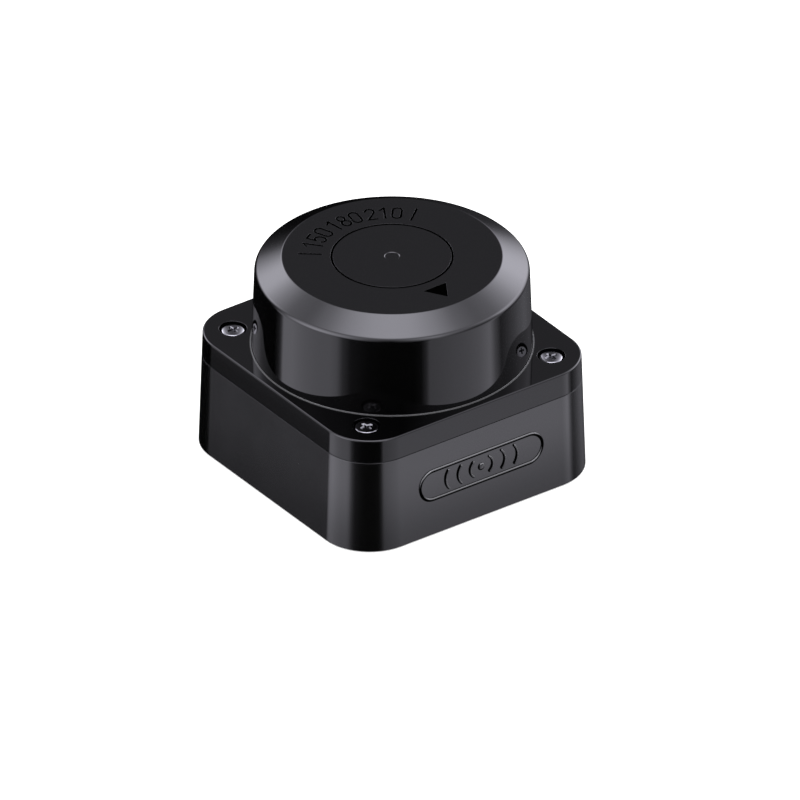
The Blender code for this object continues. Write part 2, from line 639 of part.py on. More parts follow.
# ---------------------------------------------------------------- rotor board
ON_ROTOR_Z = ROTOR_BOARD_Z[1] + GAP
ROTOR_SCREW = [(0, 19.2), (1.3, 19.1), (1.6, 18.8), (1.6, ON_ROTOR_Z), (0.8, ON_ROTOR_Z),
               (0.8, 15.3), (0, 15.3)]

rotor_board = rod("rotor_board", 20.5, ROTOR_BOARD_Z, 32, material=BOARD, parent=rotor_body)
for i, (x, y) in enumerate(ROTOR_SCREW_SPOTS):
    cut(rotor_board, rod(f"rotor_board_hole_{i}", 1.0, (16, 19), 10, (x, y)))
    turned(f"rotor_screw_{i + 1}", ROTOR_SCREW, 10, STEEL, rotor_body, at=(x, y, 0))
block("link_emitter", span(0.9), span(0.9), (16.68, ROTOR_BOARD_Z[0] - GAP), CHIP,
      rotor_body)

# ---------------------------------------------------------------- optics block
LENS_Z = 28.0
RECEIVER_X, EMITTER_X = 5.5, -8.2

optics = block("optics_block", span(14.0), (-17.0, 1.0), (ON_ROTOR_Z, 36.0), BLACK,
               rotor_body, bevel=0.6)
# Bores along Y: name, x, y span, radius at its front, radius at its back, segments
for name, x, y, front_radius, back_radius, segments in (
        ("rx_seat", RECEIVER_X, (-18.0, -13.2), 6.75, 6.75, 20),
        ("rx_tunnel", RECEIVER_X, (-13.6, -1.0), 6.0, 2.3, 16),
        ("rx_window", RECEIVER_X, (-2.0, 3.0), 2.25, 2.25, 12),
        ("tx_seat", EMITTER_X, (-18.0, -14.5), 4.2, 4.2, 18),
        ("tx_tunnel", EMITTER_X, (-14.9, -3.0), 3.6, 2.2, 14),
        ("tx_window", EMITTER_X, (-4.0, 3.0), 2.15, 2.15, 12)):
    cut(optics, rod(name, front_radius, y, segments, (x, LENS_Z), end_radius=back_radius,
                    along_y=True))


def lens(name, radius, edge, bulge, flat_y, x, steps):
    """A plano-convex lens whose flat side is at flat_y and whose crown faces -Y."""
    sphere_r = (radius * radius + bulge * bulge) / (2 * bulge)
    crown = []
    for i in range(5):
        across = radius * i / 4
        drop = sphere_r - math.sqrt(sphere_r * sphere_r - across * across)
        crown.append((across, edge + bulge - drop))
    turned(name, crown + [(radius, 0.0), (0, 0.0)], steps, GLASS, rotor_body,
           at=(x, flat_y, LENS_Z), lay=True)


lens("receiver_lens", radius=6.52, edge=1.2, bulge=2.2, flat_y=-13.28, x=RECEIVER_X,
     steps=20)
lens("emitter_lens", radius=4.02, edge=1.0, bulge=1.35, flat_y=-14.57, x=EMITTER_X,
     steps=18)
turned("laser_diode", [(0, 2.7), (1.6, 2.7), (1.6, 0.0), (2.0, 0.0), (2.0, -0.9), (0, -0.9)],
       12, BRASS, rotor_body, at=(EMITTER_X, 0.1, LENS_Z), lay=True)
block("detector_chip", span(1.4, RECEIVER_X), (0.35, 1.05), span(1.4, LENS_Z), CHIP,
      rotor_body)
turned("bandpass_filter", [(0, 0.5), (2.1, 0.5), (2.1, 0.0), (0, 0.0)], 12, GLASS,
       rotor_body, at=(RECEIVER_X, -0.2, LENS_Z), lay=True)

# ---------------------------------------------------------------- optics board
OPTICS_SCREW_X = -1.2
OPTICS_SCREW = [(0, 4.2), (0.8, 4.2), (0.8, -2.15), (1.5, -2.15), (1.5, -2.8),
                (1.2, -3.05), (0, -3.05)]

optics_board = block("optics_board", span(13.4), (1.1, 2.1), (18.6, 35.4), BOARD, rotor_body)
for i, z in enumerate((21.5, 34.0)):
    spot = (OPTICS_SCREW_X, z)
    cut(optics, rod(f"optics_pilot_{i}", 0.87, (-4.5, 3.0), 10, spot, along_y=True))
    cut(optics_board, rod(f"optics_hole_{i}", 1.0, (0.0, 3.0), 10, spot, along_y=True))
    turned(f"optics_screw_{i + 1}", OPTICS_SCREW, 10, STEEL, rotor_body,
           at=(OPTICS_SCREW_X, 0, z), lay=True)

# ---------------------------------------------------------------- counterweight
WEIGHT_Z = 18.3
WEIGHT_H = 4.5

# An arc-shaped weight behind the optics, centred on +Y.
weight = ([polar(20.0, 90 + degrees) for degrees in range(-36, 37, 12)] +
          [polar(14.5, 90 + degrees) for degrees in range(30, -31, -15)])
outline("counterweight", [weight], WEIGHT_H, BRASS, rotor_body,
        at=(0, 0, WEIGHT_Z + WEIGHT_H / 2))
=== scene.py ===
"""Looks of the lidar scanner module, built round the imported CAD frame."""

import math

import bmesh
import bpy
from mathutils import Matrix, Vector


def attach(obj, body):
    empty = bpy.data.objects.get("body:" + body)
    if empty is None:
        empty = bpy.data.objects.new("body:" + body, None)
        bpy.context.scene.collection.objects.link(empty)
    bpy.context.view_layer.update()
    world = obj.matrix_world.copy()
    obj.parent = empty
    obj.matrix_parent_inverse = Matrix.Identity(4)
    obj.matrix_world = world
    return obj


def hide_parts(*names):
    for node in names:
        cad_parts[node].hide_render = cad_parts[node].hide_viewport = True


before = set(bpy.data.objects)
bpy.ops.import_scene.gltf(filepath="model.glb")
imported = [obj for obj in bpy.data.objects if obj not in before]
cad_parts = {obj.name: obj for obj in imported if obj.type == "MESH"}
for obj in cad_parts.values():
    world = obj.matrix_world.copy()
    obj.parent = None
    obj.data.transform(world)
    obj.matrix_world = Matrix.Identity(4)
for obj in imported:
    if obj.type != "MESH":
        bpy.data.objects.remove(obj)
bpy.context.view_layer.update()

MM = 0.001
scene = bpy.context.scene

# ---------------------------------------------------------------- sizes shared with the CAD, mm
BASE_TOP = 18.39
SEAM = 18.49
DECK = 23.09
TOP = 41.3
CC = 18.05                     # corner arc centre
R0 = 9.75                      # corner radius at the underside
LEAN = math.atan(0.70 / 23.09)
SCREW_XY = 20.58
MOUNT_XY = 21.5
CORNERS = [(1, 1), (-1, 1), (-1, -1), (1, -1)]


def wall_r(z):
    return R0 - 0.70 * z / 23.09


# ================================================================= mesh tools
def finish_mesh(ob, angle=32.0, weighted=True):
    me = ob.data
    me.shade_smooth()
    me.set_sharp_from_angle(angle=math.radians(angle))
    if weighted:
        w = ob.modifiers.new("Normals", "WEIGHTED_NORMAL")
        w.keep_sharp = True
        w.weight = 60
        w.mode = "FACE_AREA_WITH_ANGLE"
    return ob


def from_bm(name, bm, recalc=True):
    if recalc:
        bmesh.ops.recalc_face_normals(bm, faces=bm.faces)
    me = bpy.data.meshes.new(name)
    bm.to_mesh(me)
    bm.free()
    ob = bpy.data.objects.new(name, me)
    scene.collection.objects.link(ob)
    return ob


def scaled(bm):
    for v in bm.verts:
        v.co *= MM
    return bm


def revolve_bm(profile, n=128, closed=True):
    """Turns (radius, height) points round Z. Points at radius 0 become poles."""
    bm = bmesh.new()
    rings = []
    for r, z in profile:
        if r < 1e-9:
            rings.append([bm.verts.new((0, 0, z))])
        else:
            rings.append([bm.verts.new((r * math.cos(2 * math.pi * i / n),
                                        r * math.sin(2 * math.pi * i / n), z))
                          for i in range(n)])
    pairs = list(zip(rings, rings[1:]))
    if closed:
        pairs.append((rings[-1], rings[0]))
    for a, b in pairs:
        if len(a) == 1 and len(b) == 1:
            continue
        for i in range(n):
            j = (i + 1) % n
            if len(a) == 1:
                bm.faces.new((a[0], b[i], b[j]))
            elif len(b) == 1:
                bm.faces.new((a[i], b[0], a[j]))
            else:
                bm.faces.new((a[i], b[i], b[j], a[j]))
    return bm


def revolve(name, profile, n=128, at=(0, 0, 0), closed=True, lay=False):
    bm = revolve_bm(profile, n, closed)
    if lay:
        bmesh.ops.rotate(bm, verts=bm.verts, cent=(0, 0, 0),
                         matrix=Matrix.Rotation(math.pi / 2, 3, "X"))
    bmesh.ops.translate(bm, verts=bm.verts, vec=at)
    return from_bm(name, scaled(bm))


def corner_points(r, n, c=CC):
    """Outline of a square with round corners of radius r about (+-c, +-c)."""
    out = []
    for q, (sx, sy) in enumerate(((1, 1), (-1, 1), (-1, -1), (1, -1))):
        for i in range(n + 1):
            a = math.radians(90 * q) + math.pi / 2 * i / n
            out.append((sx * c + r * math.cos(a), sy * c + r * math.sin(a)))
    return out


def loft_square(name, levels, n=20, c=CC):
    """A solid through rounded-square sections: levels of (corner radius, height)."""
    bm = bmesh.new()
    rings = [[bm.verts.new((x, y, z)) for x, y in corner_points(r, n, c)]
             for r, z in levels]
    m = len(rings[0])
    for a, b in zip(rings, rings[1:]):
        for i in range(m):
            j = (i + 1) % m
            bm.faces.new((a[i], a[j], b[j], b[i]))
    bm.faces.new(rings[0][::-1])
    bm.faces.new(rings[-1])
    return from_bm(name, scaled(bm))


def cylinder(name, r, z, at=(0, 0), n=32, r_top=None):
    bm = bmesh.new()
    bmesh.ops.create_cone(bm, cap_ends=True, cap_tris=False, segments=n, radius1=r,
                          radius2=r if r_top is None else r_top, depth=z[1] - z[0],
                          matrix=Matrix.Translation((at[0], at[1], (z[0] + z[1]) / 2)))
    return from_bm(name, scaled(bm))


def cylinder_y(name, r, y, xz, n=32, r_far=None):
    bm = bmesh.new()
    bmesh.ops.create_cone(bm, cap_ends=True, cap_tris=False, segments=n, radius1=r,
                          radius2=r if r_far is None else r_far, depth=y[1] - y[0])
    bmesh.ops.rotate(bm, verts=bm.verts, cent=(0, 0, 0),
                     matrix=Matrix.Rotation(-math.pi / 2, 3, "X"))
    bmesh.ops.translate(bm, verts=bm.verts, vec=(xz[0], (y[0] + y[1]) / 2, xz[1]))
    return from_bm(name, scaled(bm))


def block(name, x, y, z, bevel=0.0, seg=2, turn=0.0, upright=False):
    bm = bmesh.new()
    bmesh.ops.create_cube(bm, size=1.0)
    size = (x[1] - x[0], y[1] - y[0], z[1] - z[0])
    mid = ((x[0] + x[1]) / 2, (y[0] + y[1]) / 2, (z[0] + z[1]) / 2)
    for v in bm.verts:
        v.co = Vector([v.co[i] * size[i] + mid[i] for i in range(3)])
    if bevel:
        edges = [e for e in bm.edges if not upright
                 or abs(e.verts[0].co.z - e.verts[1].co.z) > 1e-6]
        bmesh.ops.bevel(bm, geom=edges, offset=bevel, segments=seg, affect="EDGES",
                        profile=0.5)
    if turn:
        bmesh.ops.rotate(bm, verts=bm.verts, cent=(0, 0, 0),
                         matrix=Matrix.Rotation(turn, 3, "Z"))
    return from_bm(name, scaled(bm))


def prism(name, loop, z, frame_matrix=None):
    """A straight prism over a closed outline, z[0] to z[1]."""
    bm = bmesh.new()
    low = [bm.verts.new((x, y, z[0])) for x, y in loop]
    high = [bm.verts.new((x, y, z[1])) for x, y in loop]
    n = len(loop)
    for i in range(n):
        j = (i + 1) % n
        bm.faces.new((low[i], low[j], high[j], high[i]))
    bm.faces.new(low[::-1])
    bm.faces.new(high)
    if frame_matrix is not None:
        bmesh.ops.transform(bm, matrix=frame_matrix, verts=bm.verts)
    return from_bm(name, scaled(bm))


def ribbon(name, points, width, z, closed=False):
    """A flat-bottomed stroke along 2D points, as a prism from z[0] to z[1]."""
    h = width / 2
    n = len(points)
    left, right = [], []
    for i, p in enumerate(points):
        a = points[i - 1] if (i > 0 or closed) else p
        b = points[(i + 1) % n] if (i < n - 1 or closed) else p
        d0 = Vector((p[0] - a[0], p[1] - a[1]))
        d1 = Vector((b[0] - p[0], b[1] - p[1]))
        d0 = d0.normalized() if d0.length > 1e-9 else d1.normalized()
        d1 = d1.normalized() if d1.length > 1e-9 else d0
        t = (d0 + d1).normalized()
        nrm = Vector((-t.y, t.x))
        s = h / max(0.5, nrm.dot(Vector((-d0.y, d0.x))))
        ex = Vector((0, 0))
        if not closed and i == 0:
            ex = -d1 * h
        if not closed and i == n - 1:
            ex = d0 * h
        left.append((p[0] + nrm.x * s + ex.x, p[1] + nrm.y * s + ex.y))
        right.append((p[0] - nrm.x * s + ex.x, p[1] - nrm.y * s + ex.y))
    if not closed:
        return prism(name, left + right[::-1], z)
    bm = bmesh.new()
    rings = [[bm.verts.new((x, y, zz)) for x, y in loop]
             for loop, zz in ((left, z[0]), (left, z[1]), (right, z[1]), (right, z[0]))]
    for a, b in zip(rings, rings[1:] + rings[:1]):
        for i in range(n):
            j = (i + 1) % n
            bm.faces.new((a[i], a[j], b[j], b[i]))
    return from_bm(name, scaled(bm))


def tube(name, points, r, closed=False, n=12):
    """A round bead along 3D points in mm, with domed ends when it is open."""
    pts = [Vector(p) for p in points]
    m = len(pts)
    bm = bmesh.new()
    rings = []

    def ring(c, t, ref, rad):
        side = t.cross(ref).normalized()
        up = side.cross(t).normalized()
        return [bm.verts.new(c + side * rad * math.cos(2 * math.pi * k / n)
                             + up * rad * math.sin(2 * math.pi * k / n)) for k in range(n)]
    ref = Vector((0, 0, 1))
    flat = [p.y for p in pts]
    if max(flat) - min(flat) < 3.0:
        ref = Vector((0, 1, 0))
    for i, p in enumerate(pts):
        a = pts[i - 1] if (i > 0 or closed) else p
        b = pts[(i + 1) % m] if (i < m - 1 or closed) else p
        t = (b - a).normalized()
        if not closed and i == 0:
            for f, q in ((1.0, 0.02), (0.75, 0.66), (0.4, 0.92)):
                rings.append(ring(p - t * r * f, t, ref, r * q))
        rings.append(ring(p, t, ref, r))
        if not closed and i == m - 1:
            for f, q in ((0.4, 0.92), (0.75, 0.66), (1.0, 0.02)):
                rings.append(ring(p + t * r * f, t, ref, r * q))
    pairs = list(zip(rings, rings[1:]))
    if closed:
        pairs.append((rings[-1], rings[0]))
    for a, b in pairs:
        for k in range(n):
            j = (k + 1) % n
            bm.faces.new((a[k], a[j], b[j], b[k]))
    if not closed:
        bm.faces.new(rings[0][::-1])
        bm.faces.new(rings[-1])
    return from_bm(name, scaled(bm))


def merged(name, obs):
    """Several closed shapes as one object."""
    bm = bmesh.new()
    for o in obs:
        bm.from_mesh(o.data)
        bpy.data.objects.remove(o)
    return from_bm(name, bm, recalc=False)


def carve(ob, steps):
    """Applies Booleans in order: ("cut" or "join", other object). Returns ob with its mesh
    replaced by the result; the other objects are removed."""
    for k, (what, other) in enumerate(steps):
        m = ob.modifiers.new(f"b{k}", "BOOLEAN")
        m.operation = "DIFFERENCE" if what == "cut" else "UNION"
        m.solver = "EXACT"
        m.object = other
    bpy.context.view_layer.update()
    graph = bpy.context.evaluated_depsgraph_get()
    me = bpy.data.meshes.new_from_object(ob.evaluated_get(graph))
    ob.modifiers.clear()
    old = ob.data
    ob.data = me
    me.name = old.name
    bpy.data.meshes.remove(old)
    for _, other in steps:
        if other.name in bpy.data.objects:
            bpy.data.objects.remove(other)
    return ob


def arc(cx, cy, r, a0, a1, n):
    return [(cx + r * math.cos(math.radians(a0 + (a1 - a0) * i / n)),
             cy + r * math.sin(math.radians(a0 + (a1 - a0) * i / n))) for i in range(n + 1)]


def polar(r, deg):
    return r * math.cos(math.radians(deg)), r * math.sin(math.radians(deg))


def round_corner(before, corner, after, radius, n):
    b, c, a = Vector(before), Vector(corner), Vector(after)
    u, w = (b - c).normalized(), (a - c).normalized()
    half = math.acos(max(-1, min(1, u.dot(w)))) / 2
    t = radius / math.tan(half)
    centre = c + (u + w).normalized() * (radius / math.sin(half))
    p, q = c + u * t - centre, c + w * t - centre
    a0, a1 = math.atan2(p.y, p.x), math.atan2(q.y, q.x)
    while a1 - a0 > math.pi:
        a1 -= 2 * math.pi
    while a1 - a0 < -math.pi:
        a1 += 2 * math.pi
    return [(centre.x + radius * math.cos(a0 + (a1 - a0) * i / n),
             centre.y + radius * math.sin(a0 + (a1 - a0) * i / n)) for i in range(n + 1)]


def smooth_profile(points, radius, n=3):
    """Rounds every inner corner of an open profile."""
    out = [points[0]]
    for b, c, a in zip(points, points[1:], points[2:]):
        lim = min(math.dist(b, c), math.dist(c, a)) * 0.45
        u = Vector((b[0] - c[0], b[1] - c[1])).normalized()
        w = Vector((a[0] - c[0], a[1] - c[1])).normalized()
        half = math.acos(max(-1, min(1, u.dot(w)))) / 2
        if half > math.radians(86):
            out.append(c)
            continue
        r = min(radius, lim * math.tan(half))
        out.extend(round_corner(b, c, a, r, n))
    out.append(points[-1])
    return out


# ================================================================= node materials
class Nodes:
    def __init__(self, tree):
        self.t = tree
        self.x = 0

    def add(self, kind, **values):
        n = self.t.nodes.new(kind)
        self.x += 180
        n.location = (self.x % 2400, -(self.x // 2400) * 300)
        for key, value in values.items():
            if hasattr(n, key) and not key[0].isupper():
                setattr(n, key, value)
        return n

    def put(self, socket, value):
        if isinstance(value, bpy.types.NodeSocket):
            self.t.links.new(value, socket)
        elif value is not None:
            socket.default_value = value

    def math(self, op, a, b=None, c=None, clamp=False):
        n = self.add("ShaderNodeMath", operation=op, use_clamp=clamp)
        self.put(n.inputs[0], a)
        if b is not None:
            self.put(n.inputs[1], b)
        if c is not None:
            self.put(n.inputs[2], c)
        return n.outputs[0]

    def smooth(self, value, low, high, out_low=0.0, out_high=1.0):
        n = self.add("ShaderNodeMapRange", interpolation_type="SMOOTHSTEP")
        self.put(n.inputs["Value"], value)
        n.inputs["From Min"].default_value = low
        n.inputs["From Max"].default_value = high
        n.inputs["To Min"].default_value = out_low
        n.inputs["To Max"].default_value = out_high
        return n.outputs["Result"]

    def mix(self, fac, a, b):
        n = self.add("ShaderNodeMix", data_type="RGBA")
        self.put(n.inputs["Factor"], fac)
        self.put(n.inputs["A"], a)
        self.put(n.inputs["B"], b)
        return n.outputs["Result"]

    def noise(self, vector, scale, detail=3.0, rough=0.5):
        n = self.add("ShaderNodeTexNoise", noise_dimensions="3D")
        self.put(n.inputs["Vector"], vector)
        n.inputs["Scale"].default_value = scale
        n.inputs["Detail"].default_value = detail
        n.inputs["Roughness"].default_value = rough
        return n.outputs["Fac"]

    def stretch(self, vector, scale, rotation=(0, 0, 0)):
        n = self.add("ShaderNodeMapping")
        self.put(n.inputs["Vector"], vector)
        n.inputs["Scale"].default_value = scale
        n.inputs["Rotation"].default_value = rotation
        return n.outputs["Vector"]

    def bump(self, height, strength, distance, normal=None):
        n = self.add("ShaderNodeBump")
        n.inputs["Strength"].default_value = strength
        n.inputs["Distance"].default_value = distance
        self.put(n.inputs["Height"], height)
        if normal is not None:
            self.put(n.inputs["Normal"], normal)
        return n.outputs["Normal"]


def rgb(*c):
    return (c[0], c[1], c[2], 1.0)


def start(name):
    m = bpy.data.materials.new(name)
    m.use_nodes = True
    k = Nodes(m.node_tree)
    p = m.node_tree.nodes["Principled BSDF"]
    tc = k.add("ShaderNodeTexCoord")
    v = k.stretch(tc.outputs["Object"], (1000, 1000, 1000))     # texture space in mm
    return m, k, p, v


def edge_mask(k, radius_mm, gain=1.0):
    """White where the surface turns a sharp edge within radius_mm."""
    b = k.add("ShaderNodeBevel", samples=4)
    b.inputs["Radius"].default_value = radius_mm * MM
    g = k.add("ShaderNodeNewGeometry")
    d = k.add("ShaderNodeVectorMath", operation="DOT_PRODUCT")
    k.put(d.inputs[0], b.outputs["Normal"])
    k.put(d.inputs[1], g.outputs["Normal"])
    return k.math("MULTIPLY", k.math("SUBTRACT", 1.0, d.outputs["Value"]), 4.0 * gain,
                  clamp=True), b.outputs["Normal"]


def moulded(name, colour, rough, grain_mm=0.0, grain=0.0, peel=0.0, scratch=0.12, dust=0.25,
            wear=0.25, specular=0.5, bevel=0.12, vary=0.06, foot=None, zone=None, recess=None,
            bright=None, relief=None):
    """Injection-moulded plastic: gloss or spark-eroded satin, with hairline scratches, dust
    specks, slow roughness drift and slightly polished edges.
    zone(k, v) returns (mask, rough, grain) for an area with another finish, recess(k, v) a
    mask of painted shade (black, without shine) in sunken marks, bright(k, v) a mask of a
    painted highlight along an edge, and relief(k, v) the masks (painted shade, painted highlight) of raised marks."""
    m, k, p, v = start(name)
    slow = k.noise(v, 0.11, 2)
    fine = k.noise(v, 2.1, 4, 0.6)
    hair = k.noise(k.stretch(v, (0.25, 5.5, 3.0), (0.3, 0.2, 0.7)), 1.3, 5, 0.7)
    hair2 = k.noise(k.stretch(v, (4.5, 0.3, 3.5), (0.1, 0.5, 0.3)), 1.1, 5, 0.7)
    lines = k.math("MAXIMUM", k.smooth(hair, 0.655, 0.70), k.smooth(hair2, 0.665, 0.71))
    speck_n = k.add("ShaderNodeTexVoronoi", feature="F1")
    k.put(speck_n.inputs["Vector"], v)
    speck_n.inputs["Scale"].default_value = 0.55
    speck = k.math("MULTIPLY", k.smooth(speck_n.outputs["Distance"], 0.055, 0.025),
                   k.smooth(k.noise(v, 0.5, 2), 0.52, 0.6))
    mask, bev = edge_mask(k, bevel)
    r = k.math("ADD", rough, k.math("MULTIPLY", k.math("SUBTRACT", slow, 0.5), vary * 2))
    r = k.math("ADD", r, k.math("MULTIPLY", k.math("SUBTRACT", fine, 0.5), vary))
    g_strength = grain
    if zone:
        zmask, zrough, zgrain = zone(k, v)
        r = k.math("ADD", k.math("MULTIPLY", r, k.math("SUBTRACT", 1.0, zmask)),
                   k.math("MULTIPLY", k.math("ADD", zrough, k.math(
                       "MULTIPLY", k.math("SUBTRACT", fine, 0.5), vary)), zmask))
    r = k.math("ADD", r, k.math("MULTIPLY", lines, scratch))
    r = k.math("ADD", r, k.math("MULTIPLY", speck, dust))
    r = k.math("SUBTRACT", r, k.math("MULTIPLY", mask, 0.05 * wear), clamp=True)
    k.put(p.inputs["Roughness"], r)
    worn = rgb(*[min(1, c * 2.2 + 0.012) for c in colour])
    base = k.mix(k.math("MULTIPLY", mask, wear), rgb(*colour), worn)
    base = k.mix(k.math("MULTIPLY", speck, dust), base, rgb(0.16, 0.155, 0.15))
    base = k.mix(k.math("MULTIPLY", slow, 0.35), base, rgb(*[c * 0.7 for c in colour]))
    # painted highlight: a lighter grey where bright(k, v) marks an edge
    if bright:
        base = k.mix(k.math("MULTIPLY", bright(k, v), k.smooth(fine, 0.25, 0.6, 0.75, 1.0)),
                     base, rgb(0.078, 0.078, 0.081))
    # painted highlight (lighter grey) on the lit sides of raised marks, and painted shade (black, rough, without
    # shine) under them
    if relief:
        crease_shade, crest_highlight = relief(k, v)
        base = k.mix(crest_highlight, base, rgb(0.115, 0.115, 0.12))
        base = k.mix(crease_shade, base, rgb(0.0004, 0.0004, 0.0004))
        k.put(p.inputs["Roughness"], k.mix(crease_shade, r, rgb(0.7, 0.7, 0.7)))
    # painted shade: the sunken floors go black, rough and without shine
    if recess:
        recess_shade = recess(k, v)
        base = k.mix(recess_shade, base, rgb(0.0004, 0.0004, 0.0004))
        k.put(p.inputs["Roughness"], k.mix(recess_shade, r, rgb(0.9, 0.9, 0.9)))
    k.put(p.inputs["Base Color"], base)
    p.inputs["IOR"].default_value = 1.5
    spec = specular
    # painted shade: the specular level fades towards the underside, standing in for the floor's shade near the foot
    if foot:
        sep = k.add("ShaderNodeSeparateXYZ")
        k.put(sep.inputs[0], v)
        spec = k.smooth(sep.outputs["Z"], foot[0], foot[1], specular * foot[2], specular)
    if recess:
        spec = k.math("MULTIPLY", spec, k.math("SUBTRACT", 1.0, recess_shade))
    if relief:
        spec = k.math("MULTIPLY", spec, k.math("SUBTRACT", 1.0, crease_shade))
    k.put(p.inputs["Specular IOR Level"], spec)
    n = bev
    if peel:
        n = k.bump(k.noise(v, 0.35, 2, 0.4), peel, 0.004 * MM, n)
    if grain:
        g = k.noise(v, 1.0 / grain_mm, 5, 0.65)
        n = k.bump(g, grain, grain_mm * 0.25 * MM, n)
    if zone and zgrain:
        g = k.math("MULTIPLY", k.noise(v, 7.0, 5, 0.65), zmask)
        n = k.bump(g, zgrain, 0.02 * MM, n)
    n = k.bump(lines, -0.12, 0.003 * MM, n)
    k.put(p.inputs["Normal"], n)
    return m


def metal(name, colour, rough, turned=0.0, brushed=0.0, wear=0.3, bevel=0.08, vary=0.08,
          tint=None):
    """Metal with turning or brushing lines, roughness drift, stains and bright edges.
    turned and brushed are line strengths."""
    m, k, p, v = start(name)
    slow = k.noise(v, 0.35, 3)
    fine = k.noise(v, 6.0, 4, 0.6)
    mask, bev = edge_mask(k, bevel)
    r = k.math("ADD", rough, k.math("MULTIPLY", k.math("SUBTRACT", slow, 0.5), vary * 2))
    r = k.math("ADD", r, k.math("MULTIPLY", k.math("SUBTRACT", fine, 0.5), vary))
    r = k.math("SUBTRACT", r, k.math("MULTIPLY", mask, 0.08), clamp=True)
    k.put(p.inputs["Roughness"], r)
    dull = rgb(*[c * 0.72 for c in (tint or colour)])
    base = k.mix(k.smooth(slow, 0.35, 0.75), rgb(*colour), dull)
    base = k.mix(k.math("MULTIPLY", mask, wear), base, rgb(*[min(1, c * 1.25 + 0.05) for c in colour]))
    k.put(p.inputs["Base Color"], base)
    p.inputs["Metallic"].default_value = 1.0
    n = bev
    if turned:
        sep = k.add("ShaderNodeSeparateXYZ")
        k.put(sep.inputs[0], v)
        rad = k.math("SQRT", k.math("ADD", k.math("MULTIPLY", sep.outputs["X"], sep.outputs["X"]),
                                    k.math("MULTIPLY", sep.outputs["Y"], sep.outputs["Y"])))
        comb = k.add("ShaderNodeCombineXYZ")
        k.put(comb.inputs[0], rad)
        k.put(comb.inputs[1], sep.outputs["Z"])
        n = k.bump(k.noise(comb.outputs[0], 9.0, 4, 0.7), turned, 0.01 * MM, n)
    if brushed:
        n = k.bump(k.noise(k.stretch(v, (0.6, 14, 14)), 1.0, 4, 0.7), brushed, 0.01 * MM, n)
    n = k.bump(fine, 0.05, 0.004 * MM, n)
    k.put(p.inputs["Normal"], n)
    return m


def laminate(name):
    """Green solder mask with faint copper tracks, via dots and glass-weave ripple."""
    m, k, p, v = start(name)
    brick = k.add("ShaderNodeTexBrick")
    k.put(brick.inputs["Vector"], k.stretch(v, (1, 1, 1), (0, 0, math.radians(45))))
    brick.inputs["Scale"].default_value = 0.42
    brick.inputs["Mortar Size"].default_value = 0.03
    brick.inputs["Color1"].default_value = rgb(1, 1, 1)
    brick.inputs["Color2"].default_value = rgb(0.6, 0.6, 0.6)
    brick.inputs["Mortar"].default_value = rgb(0, 0, 0)
    vor = k.add("ShaderNodeTexVoronoi", feature="F1")
    k.put(vor.inputs["Vector"], v)
    vor.inputs["Scale"].default_value = 0.45
    vias = k.smooth(vor.outputs["Distance"], 0.16, 0.12)
    track = k.math("SUBTRACT", 1.0, brick.outputs["Fac"])
    base = k.mix(k.math("MULTIPLY", track, 0.6), rgb(0.008, 0.055, 0.022), rgb(0.014, 0.11, 0.04))
    base = k.mix(k.math("MULTIPLY", vias, 0.85), base, rgb(0.45, 0.33, 0.12))
    k.put(p.inputs["Base Color"], base)
    k.put(p.inputs["Metallic"], k.math("MULTIPLY", vias, 0.7))
    k.put(p.inputs["Roughness"], k.math("ADD", 0.26, k.math("MULTIPLY", k.noise(v, 1.5, 4), 0.2)))
    weave = k.add("ShaderNodeTexWave", wave_type="BANDS", bands_direction="X")
    k.put(weave.inputs["Vector"], v)
    weave.inputs["Scale"].default_value = 0.9
    mask, bev = edge_mask(k, 0.08)
    n = k.bump(track, 0.25, 0.03 * MM, bev)
    n = k.bump(weave.outputs["Fac"], 0.04, 0.01 * MM, n)
    k.put(p.inputs["Normal"], n)
    return m


def coated_glass(name, tint):
    m, k, p, v = start(name)
    lw = k.add("ShaderNodeLayerWeight")
    lw.inputs["Blend"].default_value = 0.35
    k.put(p.inputs["Base Color"], k.mix(lw.outputs["Facing"], rgb(*tint), rgb(0.12, 0.05, 0.3)))
    p.inputs["Transmission Weight"].default_value = 0.85
    p.inputs["IOR"].default_value = 1.52
    smudge = k.noise(v, 0.9, 4, 0.6)
    k.put(p.inputs["Roughness"], k.math("ADD", 0.02, k.math("MULTIPLY", k.smooth(smudge, 0.5, 0.8), 0.12)))
    p.inputs["Coat Weight"].default_value = 0.6
    p.inputs["Coat Tint"].default_value = rgb(0.7, 0.55, 1.0)
    k.put(p.inputs["Normal"], k.bump(smudge, 0.03, 0.003 * MM))
    return m


def ceramic(name, colour, rough):
    """Sintered ferrite: fine grain with small open pores."""
    m, k, p, v = start(name)
    grain = k.noise(v, 3.0, 6, 0.7)
    vor = k.add("ShaderNodeTexVoronoi", feature="F1")
    k.put(vor.inputs["Vector"], v)
    vor.inputs["Scale"].default_value = 3.0
    pores = k.smooth(vor.outputs["Distance"], 0.2, 0.12)
    base = k.mix(grain, rgb(*[c * 0.6 for c in colour]), rgb(*[c * 1.5 for c in colour]))
    base = k.mix(k.math("MULTIPLY", pores, 0.8), base, rgb(0.01, 0.01, 0.01))
    k.put(p.inputs["Base Color"], base)
    k.put(p.inputs["Roughness"], k.math("ADD", rough - 0.1, k.math("MULTIPLY", grain, 0.25)))
    n = k.bump(grain, 0.3, 0.03 * MM)
    k.put(p.inputs["Normal"], k.bump(pores, -0.5, 0.04 * MM, n))
    return m


